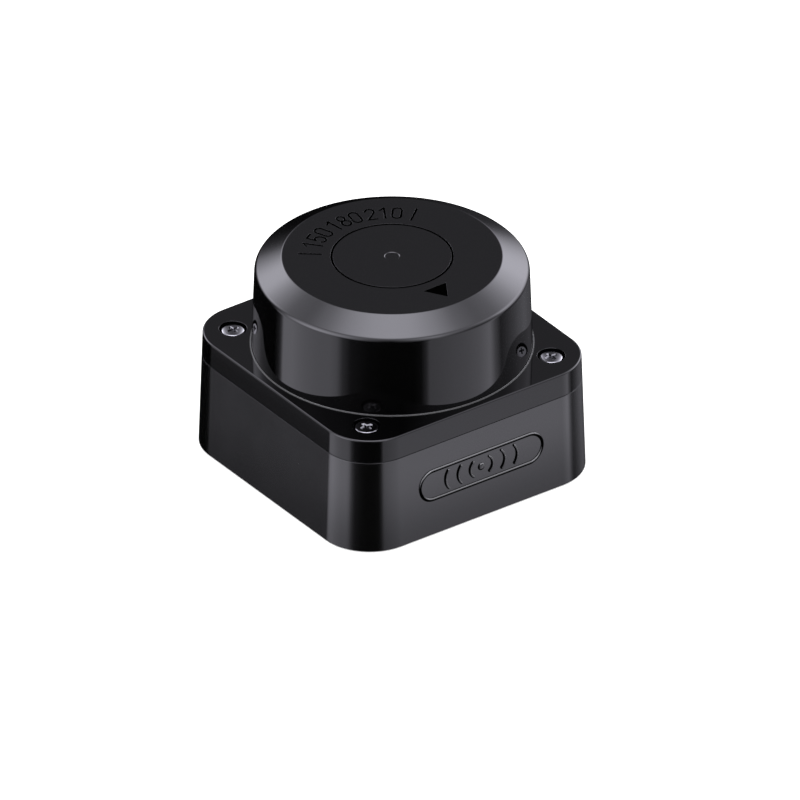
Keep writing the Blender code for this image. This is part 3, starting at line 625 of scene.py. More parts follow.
def wound_copper(name, pitch, direction="Z", radial=False):
    """Enamelled wire: bright copper turns, with painted shade (near-black copper) in the gaps between them."""
    m, k, p, v = start(name)
    sep = k.add("ShaderNodeSeparateXYZ")
    k.put(sep.inputs[0], v)
    if radial:
        along = k.math("SQRT", k.math("ADD", k.math("MULTIPLY", sep.outputs["X"], sep.outputs["X"]),
                                      k.math("MULTIPLY", sep.outputs["Y"], sep.outputs["Y"])))
    else:
        along = sep.outputs[direction]
    turn = k.math("ABSOLUTE", k.math("SINE", k.math("MULTIPLY", along, math.pi / pitch)))
    slow = k.noise(v, 0.8, 3)
    # painted shade: near-black copper in the gaps between turns
    base = k.mix(k.smooth(turn, 0.05, 0.55), rgb(0.10, 0.03, 0.01), rgb(0.62, 0.22, 0.08))
    base = k.mix(k.math("MULTIPLY", slow, 0.4), base, rgb(0.45, 0.13, 0.04))
    k.put(p.inputs["Base Color"], base)
    p.inputs["Metallic"].default_value = 0.85
    k.put(p.inputs["Roughness"], k.math("ADD", 0.2, k.math("MULTIPLY", slow, 0.2)))
    p.inputs["Coat Weight"].default_value = 0.4
    k.put(p.inputs["Normal"], k.bump(turn, 0.9, 0.08 * MM))
    return m


def printed_label(name):
    """Blank silver film label with a printed border, a rule and a dot-code square."""
    m, k, p, v = start(name)
    sep = k.add("ShaderNodeSeparateXYZ")
    k.put(sep.inputs[0], v)
    x, y = sep.outputs["X"], sep.outputs["Y"]
    ax, ay = k.math("ABSOLUTE", x), k.math("ABSOLUTE", y)
    bx = k.math("MULTIPLY", k.math("COMPARE", ax, 12.8, 0.12), k.math("LESS_THAN", ay, 7.9))
    by = k.math("MULTIPLY", k.math("COMPARE", ay, 7.8, 0.12), k.math("LESS_THAN", ax, 12.9))
    ink = k.math("MAXIMUM", bx, by)
    rule = k.math("MULTIPLY", k.math("COMPARE", y, 3.6, 0.08), k.math("LESS_THAN", ax, 11.6))
    ink = k.math("MAXIMUM", ink, rule)
    cell = k.add("ShaderNodeVectorMath", operation="FLOOR")
    k.put(cell.inputs[0], k.stretch(v, (2.0, 2.0, 0.0)))
    white = k.add("ShaderNodeTexWhiteNoise", noise_dimensions="3D")
    k.put(white.inputs["Vector"], cell.outputs[0])
    square = k.math("MULTIPLY", k.math("COMPARE", x, -8.0, 3.0), k.math("COMPARE", y, -2.5, 3.0))
    code = k.math("MULTIPLY", k.math("GREATER_THAN", white.outputs["Value"], 0.5), square)
    ink = k.math("MAXIMUM", ink, code)
    fibre = k.noise(v, 4.0, 5, 0.6)
    base = k.mix(fibre, rgb(0.60, 0.60, 0.59), rgb(0.72, 0.72, 0.71))
    base = k.mix(ink, base, rgb(0.03, 0.03, 0.035))
    k.put(p.inputs["Base Color"], base)
    k.put(p.inputs["Roughness"], k.math("ADD", 0.38, k.math("MULTIPLY", fibre, 0.15)))
    p.inputs["Metallic"].default_value = 0.25
    k.put(p.inputs["Normal"], k.bump(fibre, 0.08, 0.01 * MM))
    return m


def top_zone(k, v):
    """The dome's flat top disc and its bevel have a finer satin finish."""
    sep = k.add("ShaderNodeSeparateXYZ")
    k.put(sep.inputs[0], v)
    return k.smooth(sep.outputs["Z"], 38.4, 38.9), 0.13, 0.0


def engraving_shade(k, v):
    """Painted shade: the floor and lower walls of the marks, ring groove and arrow in the dome's top go black and
    without shine, standing in for the shade inside them.
    """
    sep = k.add("ShaderNodeSeparateXYZ")
    k.put(sep.inputs[0], v)
    rad = k.math("SQRT", k.math("ADD", k.math("MULTIPLY", sep.outputs["X"], sep.outputs["X"]),
                                k.math("MULTIPLY", sep.outputs["Y"], sep.outputs["Y"])))
    low = k.math("LESS_THAN", sep.outputs["Z"], TOP - 0.006)
    low = k.math("MULTIPLY", low, k.math("GREATER_THAN", sep.outputs["Z"], TOP - 0.4))
    near = k.math("MULTIPLY", k.math("LESS_THAN", rad, 18.6), k.math("GREATER_THAN", rad, 2.2))
    return k.math("MULTIPLY", low, near)


def opening_rim_highlight(k, v):
    """Painted highlight: a lighter grey band along the upper edge of the round opening in the cover, standing in for
    the light line that edge catches.
    """
    sep = k.add("ShaderNodeSeparateXYZ")
    k.put(sep.inputs[0], v)
    rad = k.math("SQRT", k.math("ADD", k.math("MULTIPLY", sep.outputs["X"], sep.outputs["X"]),
                                k.math("MULTIPLY", sep.outputs["Y"], sep.outputs["Y"])))
    return k.math("MULTIPLY", k.smooth(rad, 25.80, 25.72),
                  k.smooth(sep.outputs["Z"], DECK - 0.32, DECK - 0.22))


WAVES = ((2.2, 1.9, 52), (4.9, 2.6, 44), (7.7, 3.0, 38))   # place, radius, half angle


def wave_mid(rad, half):
    pts = arc(0, 0, rad, -half, half, 10)
    return sum(q[0] for q in pts) / len(pts)


def badge_relief_shading(k, v):
    """Painted shade and painted highlight on the badge's raised lines: black without shine just under the pill
    outline and on the downward and left-facing sides of the waves, and a lighter grey on their upward and
    right-facing sides.
    """
    sep = k.add("ShaderNodeSeparateXYZ")
    k.put(sep.inputs[0], v)
    x, y, z = (sep.outputs[c] for c in "XYZ")
    ax = k.math("ABSOLUTE", x)

    def height_from(lift):
        h = k.math("ADD", z, lift - 10.4)
        return h, k.math("MULTIPLY", h, h)

    def pill_line(lift):
        h, hh = height_from(lift)
        px = k.math("MAXIMUM", k.math("SUBTRACT", ax, 10.65), 0.0)
        return k.math("ABSOLUTE", k.math("SUBTRACT", k.math("SQRT", k.math("ADD", hh, k.math(
            "MULTIPLY", px, px))), 2.95))

    def wave_lines(lift):
        h, hh = height_from(lift)
        d = k.math("SUBTRACT", k.math("SQRT", k.math("ADD", hh, k.math("MULTIPLY", x, x))), 0.62)
        for cx, rad, half in WAVES:
            q = k.math("SUBTRACT", ax, cx - wave_mid(rad, half))
            e = k.math("ABSOLUTE", k.math("SUBTRACT", k.math("SQRT", k.math("ADD", hh, k.math(
                "MULTIPLY", q, q))), rad))
            far = k.math("MULTIPLY", k.math("GREATER_THAN", k.math("ABSOLUTE", h),
                                            rad * math.sin(math.radians(half)) + 0.2), 9.0)
            back_side = k.math("MULTIPLY", k.math("LESS_THAN", q, 0.0), 9.0)
            d = k.math("MINIMUM", d, k.math("ADD", e, k.math("ADD", far, back_side)))
        return d
    wall = k.math("ADD", y, k.math("MULTIPLY", z, -0.0303))         # -27.8 on the front wall
    front = k.math("LESS_THAN", wall, -27.6)
    proud = k.smooth(wall, -27.86, -27.92)
    g = k.add("ShaderNodeNewGeometry")
    gs = k.add("ShaderNodeSeparateXYZ")
    k.put(gs.inputs[0], g.outputs["Normal"])
    # painted shade: a band just under the pill outline, and the downward and left-facing sides of the waves
    under = k.math("MULTIPLY", k.smooth(pill_line(0.24), 0.27, 0.22),
                   k.math("LESS_THAN", gs.outputs["Z"], 0.28))
    side = k.math("MAXIMUM", k.smooth(gs.outputs["Z"], -0.10, -0.30),
                  k.smooth(gs.outputs["X"], -0.20, -0.45))
    under = k.math("MAXIMUM", under, k.math("MULTIPLY", k.smooth(wave_lines(0.0), 0.30, 0.26),
                                            side))
    crease_shade = k.math("MULTIPLY", under, front)
    # painted highlight: the upward-facing sides, and the right-facing sides of the waves
    lit = k.math("MAXIMUM", k.smooth(gs.outputs["Z"], 0.32, 0.58),
                 k.math("MULTIPLY", k.smooth(gs.outputs["X"], 0.15, 0.5),
                        k.smooth(wave_lines(0.0), 0.32, 0.28)))
    crest_highlight = k.math("MULTIPLY", proud, lit)
    crest_highlight = k.math("MULTIPLY", crest_highlight, k.math("SUBTRACT", 1.0, crease_shade))
    return crease_shade, crest_highlight


DOME = moulded("dome_gloss_black", (0.0010, 0.0010, 0.0011), 0.04, peel=0.08, scratch=0.05,
               dust=0.10, wear=0.06, vary=0.012, bevel=0.06, zone=top_zone, recess=engraving_shade)
# the cover carries a painted highlight along the edge of its opening
COVER = moulded("cover_gloss_black", (0.0010, 0.0010, 0.0011), 0.04, peel=0.08, scratch=0.05,
                dust=0.10, wear=0.08, vary=0.015, specular=0.44, bevel=0.06,
                bright=opening_rim_highlight)
# painted shade on the base: its shine fades to 48 % towards the underside
BASE = moulded("base_satin_black", (0.0016, 0.0016, 0.0017), 0.16, grain_mm=0.12, grain=0.05,
               scratch=0.08, dust=0.16, wear=0.12, specular=0.84, vary=0.03, bevel=0.015,
               foot=(-1.0, 16.0, 0.48), relief=badge_relief_shading)
INNER = moulded("inner_moulding_black", (0.018, 0.018, 0.019), 0.42, grain_mm=0.18, grain=0.35,
                scratch=0.1, dust=0.1, wear=0.35, bevel=0.15)
NYLON = moulded("natural_nylon", (0.72, 0.69, 0.60), 0.42, grain_mm=0.2, grain=0.12, dust=0.1,
                wear=0.05, bevel=0.1)
CHIP = moulded("chip_epoxy", (0.02, 0.02, 0.022), 0.55, grain_mm=0.09, grain=0.5, dust=0.05,
               wear=0.3, bevel=0.08)
RUBBER = moulded("seal_rubber", (0.018, 0.018, 0.018), 0.72, grain_mm=0.3, grain=0.3, dust=0.3,
                 wear=0.1, bevel=0.1)
SCREW = metal("plated_screw_steel", (0.26, 0.26, 0.27), 0.12, turned=0.0, vary=0.06, bevel=0.07)
STEEL = metal("bright_steel", (0.72, 0.72, 0.73), 0.2, turned=0.15)
RACE = metal("ground_bearing_steel", (0.68, 0.69, 0.71), 0.1, turned=0.08)
ALU = metal("turned_aluminium", (0.78, 0.79, 0.80), 0.3, turned=0.3)
STAMPED = metal("lamination_steel", (0.34, 0.35, 0.37), 0.38, brushed=0.2)
MAGNET = metal("nickelled_magnet", (0.42, 0.42, 0.43), 0.42, vary=0.12)
BRASS = metal("turned_brass", (0.72, 0.50, 0.20), 0.24, turned=0.2, tint=(0.5, 0.3, 0.12))
CAGE = metal("cage_brass", (0.74, 0.55, 0.26), 0.3, brushed=0.15)
GOLD = metal("gold_can", (0.85, 0.62, 0.25), 0.18)
TIN = metal("tinned_pin", (0.74, 0.72, 0.68), 0.26, brushed=0.15)
BOARD = laminate("solder_mask_green")
LENS = coated_glass("coated_lens", (0.55, 0.45, 0.75))
FERRITE = ceramic("sintered_ferrite", (0.06, 0.06, 0.065), 0.65)
COPPER_Z = wound_copper("motor_wire", 0.32)
COPPER_R = wound_copper("litz_wire", 0.42, radial=True)
LABEL = printed_label("label_film")


def dress(ob, mat):
    ob.data.materials.clear()
    ob.data.materials.append(mat)
    return ob


def piece(ob, mat, body, node, slot, angle=32.0, weighted=True):
    """A visible piece that stands for a CAD node."""
    finish_mesh(ob, angle, weighted)
    dress(ob, mat)
    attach(ob, body)
    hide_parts(node)
    return ob


# ================================================================= optical dome
def dome():
    top = TOP
    sh = (24.92, 38.69)
    foot = (25.44, DECK)
    deep = 0.26
    lead = [(0, top - 0.07), (0.9, top - 0.07), (1.30, top - 0.065), (1.415, top), (1.55, top)]
    g0, g1 = 10.94 - 0.18, 10.94 + 0.18
    groove = [(g0 - 0.04, top), (g0, top - 0.04), (g0, top - deep), (g1, top - deep),
              (g1, top - 0.04), (g1 + 0.04, top)]
    rim = round_corner((0, top), (20.0, top), sh, 0.7, 5)
    shoulder = round_corner((20.0, top), sh, foot, 1.05, 10)
    fl = 25.44
    outer = lead + [(5.0, top), (9.0, top)] + groove + [(14.0, top), (18.0, top)] + rim + \
        shoulder + [(25.10, 33.5), (25.28, 28.0), foot, (fl, 20.7)]
    inner = [(23.79, 20.7), (23.62, 26.0), (23.45, 31.5), (23.25, 37.2), (22.9, 37.75),
             (19.2, 39.45), (18.5, 39.5), (9.0, 39.5), (0, 39.5)]
    ob = revolve("optical_dome_shell", outer + inner, 240)
    ring = carve(loft_square("f", [(7.36, 20.7), (7.4, 20.74), (7.4, 21.46), (7.36, 21.5)], 14),
                 [("cut", cylinder("h", 24.6, (20.0, 22.0), n=96))])
    steps = [("join", ring)]
    for i, (sx, sy) in enumerate(CORNERS):
        steps.append(("cut", cylinder(f"e{i}", 3.15, (20.0, 22.0),
                                      (sx * SCREW_XY, sy * SCREW_XY), 32)))
    z = (top - 0.25, top + 0.5)
    steps.append(("cut", prism("arrow", [(-2.50, -13.12), (0.013, -17.2), (2.50, -13.12)], z)))
    steps += [("cut", o) for o in scale_marks(z)]
    return carve(ob, steps)


def bow(cx, cy, rx, ry, a0, a1, n):
    return [(cx + rx * math.cos(math.radians(a0 + (a1 - a0) * i / n)),
             cy + ry * math.sin(math.radians(a0 + (a1 - a0) * i / n))) for i in range(n + 1)]


def digit(ch):
    """Strokes of a digit in a box 0.48 wide and 1 high, each (points, closed). No stroke
    crosses itself."""
    if ch == "0":
        return [(bow(0, 0.76, 0.235, 0.24, 0, 180, 10) + bow(0, 0.24, 0.235, 0.24, 180, 360, 10),
                 True)]
    if ch == "1":
        return [([(0.05, 1.0), (0.05, 0.0)], False), ([(-0.17, 0.80), (0.05, 0.985)], False)]
    if ch == "2":
        top = bow(0, 0.74, 0.235, 0.26, 165, -35, 12)
        return [(top, False), ([top[-1], (-0.22, 0.02)], False),
                ([(-0.235, 0.0), (0.25, 0.0)], False)]
    if ch == "5":
        return [([(-0.19, 1.0), (0.22, 1.0)], False), ([(-0.19, 1.0), (-0.205, 0.54)], False),
                (bow(-0.015, 0.30, 0.245, 0.30, 140, -150, 14), False)]
    return [(bow(0, 0.765, 0.195, 0.235, 7, 367, 16)[:-1], True),
            (bow(0, 0.265, 0.235, 0.265, 0, 360, 18)[:-1], True)]


def scale_marks(z):
    """Angle scale behind the ring groove: numbers at 150, 180 and 210 degrees from the
    front arrow, with ticks half way between them."""
    out = []
    height, pitch, stroke = 3.5, 2.42, 0.40
    r_foot = 13.1
    for number, centre in (("150", 120.0), ("180", 90.0), ("210", 60.0)):
        for k, ch in enumerate(number):
            turn = math.degrees((1 - k) * pitch / (r_foot + height / 2))
            a = math.radians(centre + turn + 0.07)
            for q, (points, closed) in enumerate(digit(ch)):
                world = []
                for x, y in points:
                    along, up = x * height, r_foot + y * height
                    world.append((up * math.cos(a) + along * math.sin(a),
                                  up * math.sin(a) - along * math.cos(a)))
                out.append(ribbon(f"d{number}{k}{q}", world, stroke,
                                  (z[0] - 0.004 * q, z[1] + 0.01 * q), closed))
    for centre in (141.3, 38.7):
        a = math.radians(centre)
        out.append(ribbon(f"t{centre}", [(12.9 * math.cos(a), 12.9 * math.sin(a)),
                                         (16.8 * math.cos(a), 16.8 * math.sin(a))],
                          stroke, z))
    return out


piece(dome(), DOME, "base", "optical_dome", "dome_plastic", angle=24)


# ================================================================= top cover
def flare(name, r, z0, z1, edge, at=(0, 0), n=48, top=DECK):
    """Cutter for a round opening whose upper edge gets a small radius."""
    pts = [(0, z0), (r, z0)] + [(r + edge - edge * math.cos(t), top - edge + edge * math.sin(t))
                                for t in [math.pi / 2 * i / 4 for i in range(5)]]
    pts += [(r + edge, z1), (0, z1)]
    return revolve(name, pts, n, (at[0], at[1], 0))


def top_cover():
    e = 0.31
    rim = [(wall_r(DECK) - e + e * math.cos(t) * 1.0, DECK - e + e * math.sin(t))
           for t in [math.pi / 2 * i / 5 for i in range(6)]]
    low = [(wall_r(SEAM) - 0.06, SEAM), (wall_r(SEAM + 0.05), SEAM + 0.05)]
    ob = loft_square("top_cover_shell", low + [(wall_r(21.0), 21.0)] + rim, 26)
    bead = [(25.46, DECK - 0.3), (25.61, DECK - 0.3)]
    bead += [(25.535 + 0.075 * math.cos(t), DECK + 0.02 + 0.17 * math.sin(t))
             for t in [math.pi * i / 8 for i in range(9)]]
    steps = [("cut", cylinder("o", 25.52, (17.0, 24.5), n=240)),
             ("cut", loft_square("room", [(7.69, 17.0), (7.69, 21.55)], 16))]
    for i, (sx, sy) in enumerate(CORNERS):
        at = (sx * SCREW_XY, sy * SCREW_XY)
        steps.append(("join", cylinder(f"b{i}", 2.9, (19.9, 22.0), at, 32)))
    for i, (sx, sy) in enumerate(CORNERS):
        at = (sx * SCREW_XY, sy * SCREW_XY)
        steps.append(("cut", flare(f"c{i}", 2.55, 21.35, 24.5, 0.05, at, 64)))
        steps.append(("cut", cylinder(f"w{i}", 1.42, (19.0, 22.0), at, 24)))
    steps.append(("join", revolve("bead", bead, 240)))
    return carve(ob, steps)


piece(top_cover(), COVER, "base", "top_cover", "cover_plastic", angle=30)


# ================================================================= base housing
def on_front(x, h, out=0.0):
    """A point on the front wall: x, height above the badge's centre, distance outwards."""
    z = 10.4 + h * math.cos(LEAN)
    y = -(CC + wall_r(z))
    return (x, y - out * math.cos(LEAN), z + out * math.sin(LEAN))


def base_housing():
    bottom = [(R0 - 0.20 + 0.20 * math.sin(t) - 0.0303 * 0.20 * (1 - math.cos(t)),
               0.20 - 0.20 * math.cos(t)) for t in [math.pi / 2 * i / 5 for i in range(6)]]
    top_edge = [(wall_r(BASE_TOP - 0.03), BASE_TOP - 0.03), (wall_r(BASE_TOP) - 0.025, BASE_TOP)]
    ob = loft_square("base_housing_shell", bottom + [(wall_r(9.0), 9.0)] + top_edge, 26)
    steps = [("join", loft_square("lip", [(7.45, 17.0), (7.45, 20.05), (7.35, 20.2)], 14)),
             ("cut", loft_square("low", [(7.25, 2.0), (7.25, 16.4)], 14)),
             ("cut", loft_square("high", [(6.4, 16.0), (6.4, 22.0)], 14))]
    for i, (sx, sy) in enumerate(CORNERS):
        steps.append(("join", cylinder(f"c{i}", 3.0, (1.5, 19.8), (sx * SCREW_XY, sy * SCREW_XY), 28)))
        steps.append(("join", cylinder(f"i{i}", 3.2, (1.4, 6.5), (sx * MOUNT_XY, sy * MOUNT_XY), 28)))
    for i, (sx, sy) in enumerate(CORNERS):
        at = (sx * SCREW_XY, sy * SCREW_XY)
        steps.append(("cut", cylinder(f"r{i}", 3.15, (19.82, 22.5), at, 32)))
        steps.append(("cut", cylinder(f"p{i}", 1.34, (12.6, 21.0), at, 20)))
        pts = [(0, -1.0), (2.12, -1.0), (2.12, 0.0), (1.97, 0.15), (1.97, 4.3), (0, 4.3)]
        steps.append(("cut", revolve(f"k{i}", pts, 32, (sx * MOUNT_XY, sy * MOUNT_XY, 0))))
        steps.append(("join", cylinder(f"q{i}", 1.6, (1.5, 3.85), (sx * 16.4, sy * 16.4), 20)))
    for i, deg in enumerate((90, 210, 330)):
        steps.append(("join", cylinder(f"m{i}", 2.1, (1.5, 3.85), polar(9.6, deg), 24)))
        steps.append(("cut", cylinder(f"n{i}", 1.07, (1.0, 5.0), polar(9.6, deg), 18)))
    steps.append(("cut", block("sock", (-6.7, 6.7), (23.0, 30.0), (4.85, 11.5), 0.35, 3)))
    steps.append(("cut", block("lab", (-14.25, 14.25), (-9.25, 9.25), (-1.0, 0.3), 0.6, 4,
                               upright=True)))
    # badge: a pill-shaped bead, and inside it a plain wave symbol
    c, r = 13.6 - 2.95, 2.95
    loop = [(c + r * math.cos(math.radians(a)), r * math.sin(math.radians(a)))
            for a in range(-90, 91, 6)]
    loop += [(-x, -y) for x, y in loop]
    steps.append(("join", tube("bead", [on_front(x, y, 0.04) for x, y in loop], 0.25, True, 14)))
    for i, (cx, rad, half) in enumerate(WAVES):
        for sgn in (1, -1):
            pts = arc(0, 0, rad, -half, half, 10)
            mid = wave_mid(rad, half)
            steps.append(("join", tube(f"w{i}{sgn}", [on_front(sgn * (cx + x - mid), y, 0.05)
                                                      for x, y in pts], 0.26, False, 14)))
    bm = bmesh.new()
    bmesh.ops.create_uvsphere(bm, u_segments=24, v_segments=12, radius=1.0)
    centre = on_front(0, 0, 0.0)
    for v in bm.verts:
        v.co = Vector((v.co.x * 0.75 + centre[0], v.co.y * 0.30 + centre[1],
                       v.co.z * 0.75 + centre[2]))
    steps.append(("join", from_bm("dot", scaled(bm))))
    return carve(ob, steps)


piece(base_housing(), BASE, "base", "base_housing", "base_plastic", angle=30)


# ================================================================= cover screws
def pan_screw(name, at, r_head, r_shank, z_under, z_top, z_tip, arm, depth, n=56):
    """A cross-recess pan-head screw."""
    h = z_top - z_under
    e = 0.26 * h
    cap = r_head * 6.0                               # the pan head's shallow crown
    flat = r_head - e * 0.92
    head = [(0, z_top)] + [(flat * q, z_top - (flat * q) ** 2 / (2 * cap))
                           for q in (0.2, 0.4, 0.6, 0.8, 1.0)]
    drop = z_top - flat ** 2 / (2 * cap)
    head += [(flat + 0.92 * e * math.sin(t), drop - e + e * math.cos(t))
             for t in [math.radians(15 + 75 * i / 6) for i in range(1, 7)]]
    head += [(r_head, z_under + 0.10), (r_head - 0.08, z_under),
             (r_shank + 0.1, z_under), (r_shank, z_under - 0.1)]
    z = z_under - 0.25
    pitch = 0.45 if r_shank > 1.1 else 0.35
    while z - pitch > z_tip + 0.45:
        head += [(r_shank, z), (r_shank * 0.86, z - pitch / 2)]
        z -= pitch
    head += [(r_shank, z), (r_shank * 0.72, z_tip + 0.05), (r_shank * 0.6, z_tip), (0, z_tip)]
    ob = revolve(name, head, n, (at[0], at[1], 0), closed=False)

    def plus(a, w, b):
        q = []
        for sx, sy, first in ((1, 1, 0), (-1, 1, 1), (-1, -1, 0), (1, -1, 1)):
            p1, p2, p3 = (sx * a, sy * w), (sx * b, sy * b), (sx * w, sy * a)
            q += [p1, p2, p3] if not first else [p3, p2, p1]
        return q
    bm = bmesh.new()
    rings = []
    f = r_head / 2.2
    for a, w, b, zz in ((arm * 1.20, 0.56 * f, 0.62 * f, z_top + 0.2),
                        (arm, 0.34 * f, 0.40 * f, z_top),
                        (arm * 0.74, 0.10 * f, 0.16 * f, z_top - 0.30),
                        (arm * 0.36, 0.07 * f, 0.12 * f, z_top - depth)):
        rings.append([bm.verts.new((at[0] + x, at[1] + y, zz)) for x, y in plus(a, w, b)])
    tip = bm.verts.new((at[0], at[1], z_top - depth - 0.2))
    m = len(rings[0])
    for a, b in zip(rings, rings[1:]):
        for i in range(m):
            bm.faces.new((a[i], a[(i + 1) % m], b[(i + 1) % m], b[i]))
    bm.faces.new(rings[0])
    for i in range(m):
        bm.faces.new((rings[-1][(i + 1) % m], rings[-1][i], tip))
    return carve(ob, [("cut", from_bm("cross", scaled(bm)))])


for i, (sx, sy) in enumerate(CORNERS):
    piece(pan_screw(f"cover_screw_pan_{i + 1}", (sx * SCREW_XY, sy * SCREW_XY), 2.2, 1.25,
                    21.42, 22.93, 13.3, 1.28, 1.0),
          SCREW, "base", f"cover_screw_{i + 1}", "bright_steel", angle=40)

# ================================================================= inside and underside pieces
def soft(points, r=0.12, n=2, closed=True):
    """A turned profile with every corner rounded. Points on the axis stay."""
    out = []
    m = len(points)
    for i, c in enumerate(points):
        if c[0] < 1e-9 or (not closed and i in (0, m - 1)):
            out.append(c)
            continue
        b, a = points[i - 1], points[(i + 1) % m]
        u = Vector((b[0] - c[0], b[1] - c[1])).normalized()
        w = Vector((a[0] - c[0], a[1] - c[1])).normalized()
        half = math.acos(max(-1, min(1, u.dot(w)))) / 2
        if half > math.radians(84):
            out.append(c)
            continue
        lim = min(math.dist(b, c), math.dist(c, a)) * 0.42
        out.extend(round_corner(b, c, a, min(r, lim * math.tan(half)), n))
    return out


def ring(name, points, mat, body, slot, r=0.12, n=96, node=None, at=(0, 0, 0), angle=35.0):
    return piece(revolve(name, soft(points, r), n, at), mat, body, node, slot, angle=angle)


def turned_solid(name, points, n=64, at=(0, 0, 0), r=0.1, lay=False):
    """Turned shape that closes on its axis; lay turns the axis from +Z to -Y."""
    return revolve(name, soft(points, r, closed=False), n, at, closed=False, lay=lay)


def rounded_rect(hx, hy, r, cx=0.0, cy=0.0, n=5):
    out = []
    for sx, sy, a in ((1, 1, 0), (-1, 1, 90), (-1, -1, 180), (1, -1, 270)):
        out += arc(cx + sx * (hx - r), cy + sy * (hy - r), r, a, a + 90, n)
    return out


def two_tone(name, groups):
    """Closed shapes of several materials as one object: groups of (material, [objects])."""
    bm = bmesh.new()
    for index, (mat, obs) in enumerate(groups):
        for o in obs:
            before = len(bm.faces)
            bm.from_mesh(o.data)
            bm.faces.ensure_lookup_table()
            for f in bm.faces[before:]:
                f.material_index = index
            bpy.data.objects.remove(o)
    return from_bm(name, bm, recalc=False)


def stand(ob, mats, body, node, angle=35.0):
    finish_mesh(ob, angle)
    ob.data.materials.clear()
    for m in mats:
        ob.data.materials.append(m)
    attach(ob, body)
    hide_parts(node)
    return ob


BOARD_TOP = 5.15

# seal under the dome's flange, with chamfered outer edges
seal = loft_square("flange_seal", [(7.33, 20.25), (7.40, 20.32), (7.40, 20.58), (7.33, 20.65)], 16)
piece(carve(seal, [("cut", loft_square("h", [(6.61, 20.0), (6.61, 21.0)], 16))]),
      RUBBER, "base", "cover_gasket", "seal_rubber")

piece(prism("label_film_sheet", rounded_rect(14.0, 9.0, 0.7), (0.10, 0.25)), LABEL, "base",
      "rating_label", "label_film")


# ---- mounting inserts: knurled bands, a waist, a lead-in and a threaded bore
def insert(name, x, y):
    bm = bmesh.new()
    n = 60
    levels = [(1.62, 0.05, 0), (1.78, 0.20, 0), (1.80, 0.30, 1), (1.80, 1.65, 1), (1.66, 1.75, 0),
              (1.66, 2.25, 0), (1.80, 2.35, 1), (1.80, 3.80, 1), (1.70, 3.95, 0), (1.60, 4.05, 0)]
    inner = [(1.12, 4.05), (1.05, 3.98)]
    z = 3.86
    while z > 0.55:
        inner += [(1.05, z), (1.19, z - 0.16), (1.05, z - 0.32)]
        z -= 0.45
    inner += [(1.05, 0.32), (1.30, 0.05)]
    rings = []
    for r, zz, knurl in levels:
        rings.append([bm.verts.new(((r + knurl * (0.10 if i % 2 else -0.04)) * math.cos(2 * math.pi * i / n),
                                    (r + knurl * (0.10 if i % 2 else -0.04)) * math.sin(2 * math.pi * i / n), zz))
                      for i in range(n)])
    for r, zz in inner:
        rings.append([bm.verts.new((r * math.cos(2 * math.pi * i / n),
                                    r * math.sin(2 * math.pi * i / n), zz)) for i in range(n)])
    for a, b in zip(rings, rings[1:] + rings[:1]):
        for i in range(n):
            j = (i + 1) % n
            bm.faces.new((a[i], a[j], b[j], b[i]))
    bmesh.ops.translate(bm, verts=bm.verts, vec=(x, y, 0))
    return from_bm(name, scaled(bm))


for i, (sx, sy) in enumerate(CORNERS):
    piece(insert(f"knurled_insert_{i + 1}", sx * MOUNT_XY, sy * MOUNT_XY), BRASS, "base",
          f"mount_insert_{i + 1}", "insert_brass", angle=25)


# ---- boards and chips
def plate(name, loop, z, holes, edge=0.06):
    ob = prism(name, loop, z)
    return carve(ob, [("cut", cylinder(f"h{i}", r, (z[0] - 1, z[1] + 1), at, 32))
                      for i, (at, r) in enumerate(holes)])


def passives(places, z, turn=0.0):
    """Small two-ended parts as (body, ends) shapes."""
    bodies, ends = [], []
    for i, (x, y, along) in enumerate(places):
        lx, ly = (0.5, 0.4) if along else (0.4, 0.5)
        ex, ey = (0.32, 0.42) if along else (0.42, 0.32)
        dx, dy = (0.62, 0) if along else (0, 0.62)
        bodies.append(block(f"pb{i}", (x - lx, x + lx), (y - ly, y + ly), (z - 0.05, z + 0.52), 0.04, 1))
        for s in (-1, 1):
            ends.append(block(f"pe{i}{s}", (x + s * dx - ex * 0.6, x + s * dx + ex * 0.6),
                              (y + s * dy - ey * (1.0 if along else 0.6), y + s * dy + ey * (1.0 if along else 0.6)),
                              (z - 0.05, z + 0.55), 0.05, 1))
    return bodies, ends


C_OUT, K_OUT = 24.0, 12.2
octagon = [(C_OUT, -K_OUT), (C_OUT, K_OUT), (K_OUT, C_OUT), (-K_OUT, C_OUT), (-C_OUT, K_OUT),
           (-C_OUT, -K_OUT), (-K_OUT, -C_OUT), (K_OUT, -C_OUT)]
main_board = plate("control_board_laminate", octagon, (3.9, 5.1),
                   [(polar(9.6, deg), 1.15) for deg in (90, 210, 330)])
pb, pe = passives([(-18.5, -8.0, 1), (-18.5, -6.2, 1), (-13.0, -19.6, 0), (-10.6, -19.6, 0),
                   (8.6, -17.4, 0), (10.6, -18.2, 0), (17.4, -12.6, 1), (17.4, -10.8, 1),
                   (12.0, 14.6, 0), (14.0, 14.6, 0), (-13.2, 13.8, 1), (-13.2, 16.0, 1),
                   (-9.0, 16.6, 0), (-20.6, 2.0, 0), (-20.6, -1.0, 0)], 5.1)
stand(two_tone("control_board_populated", [(BOARD, [main_board]), (CHIP, pb), (TIN, pe)]),
      [BOARD, CHIP, TIN], "base", "control_board")


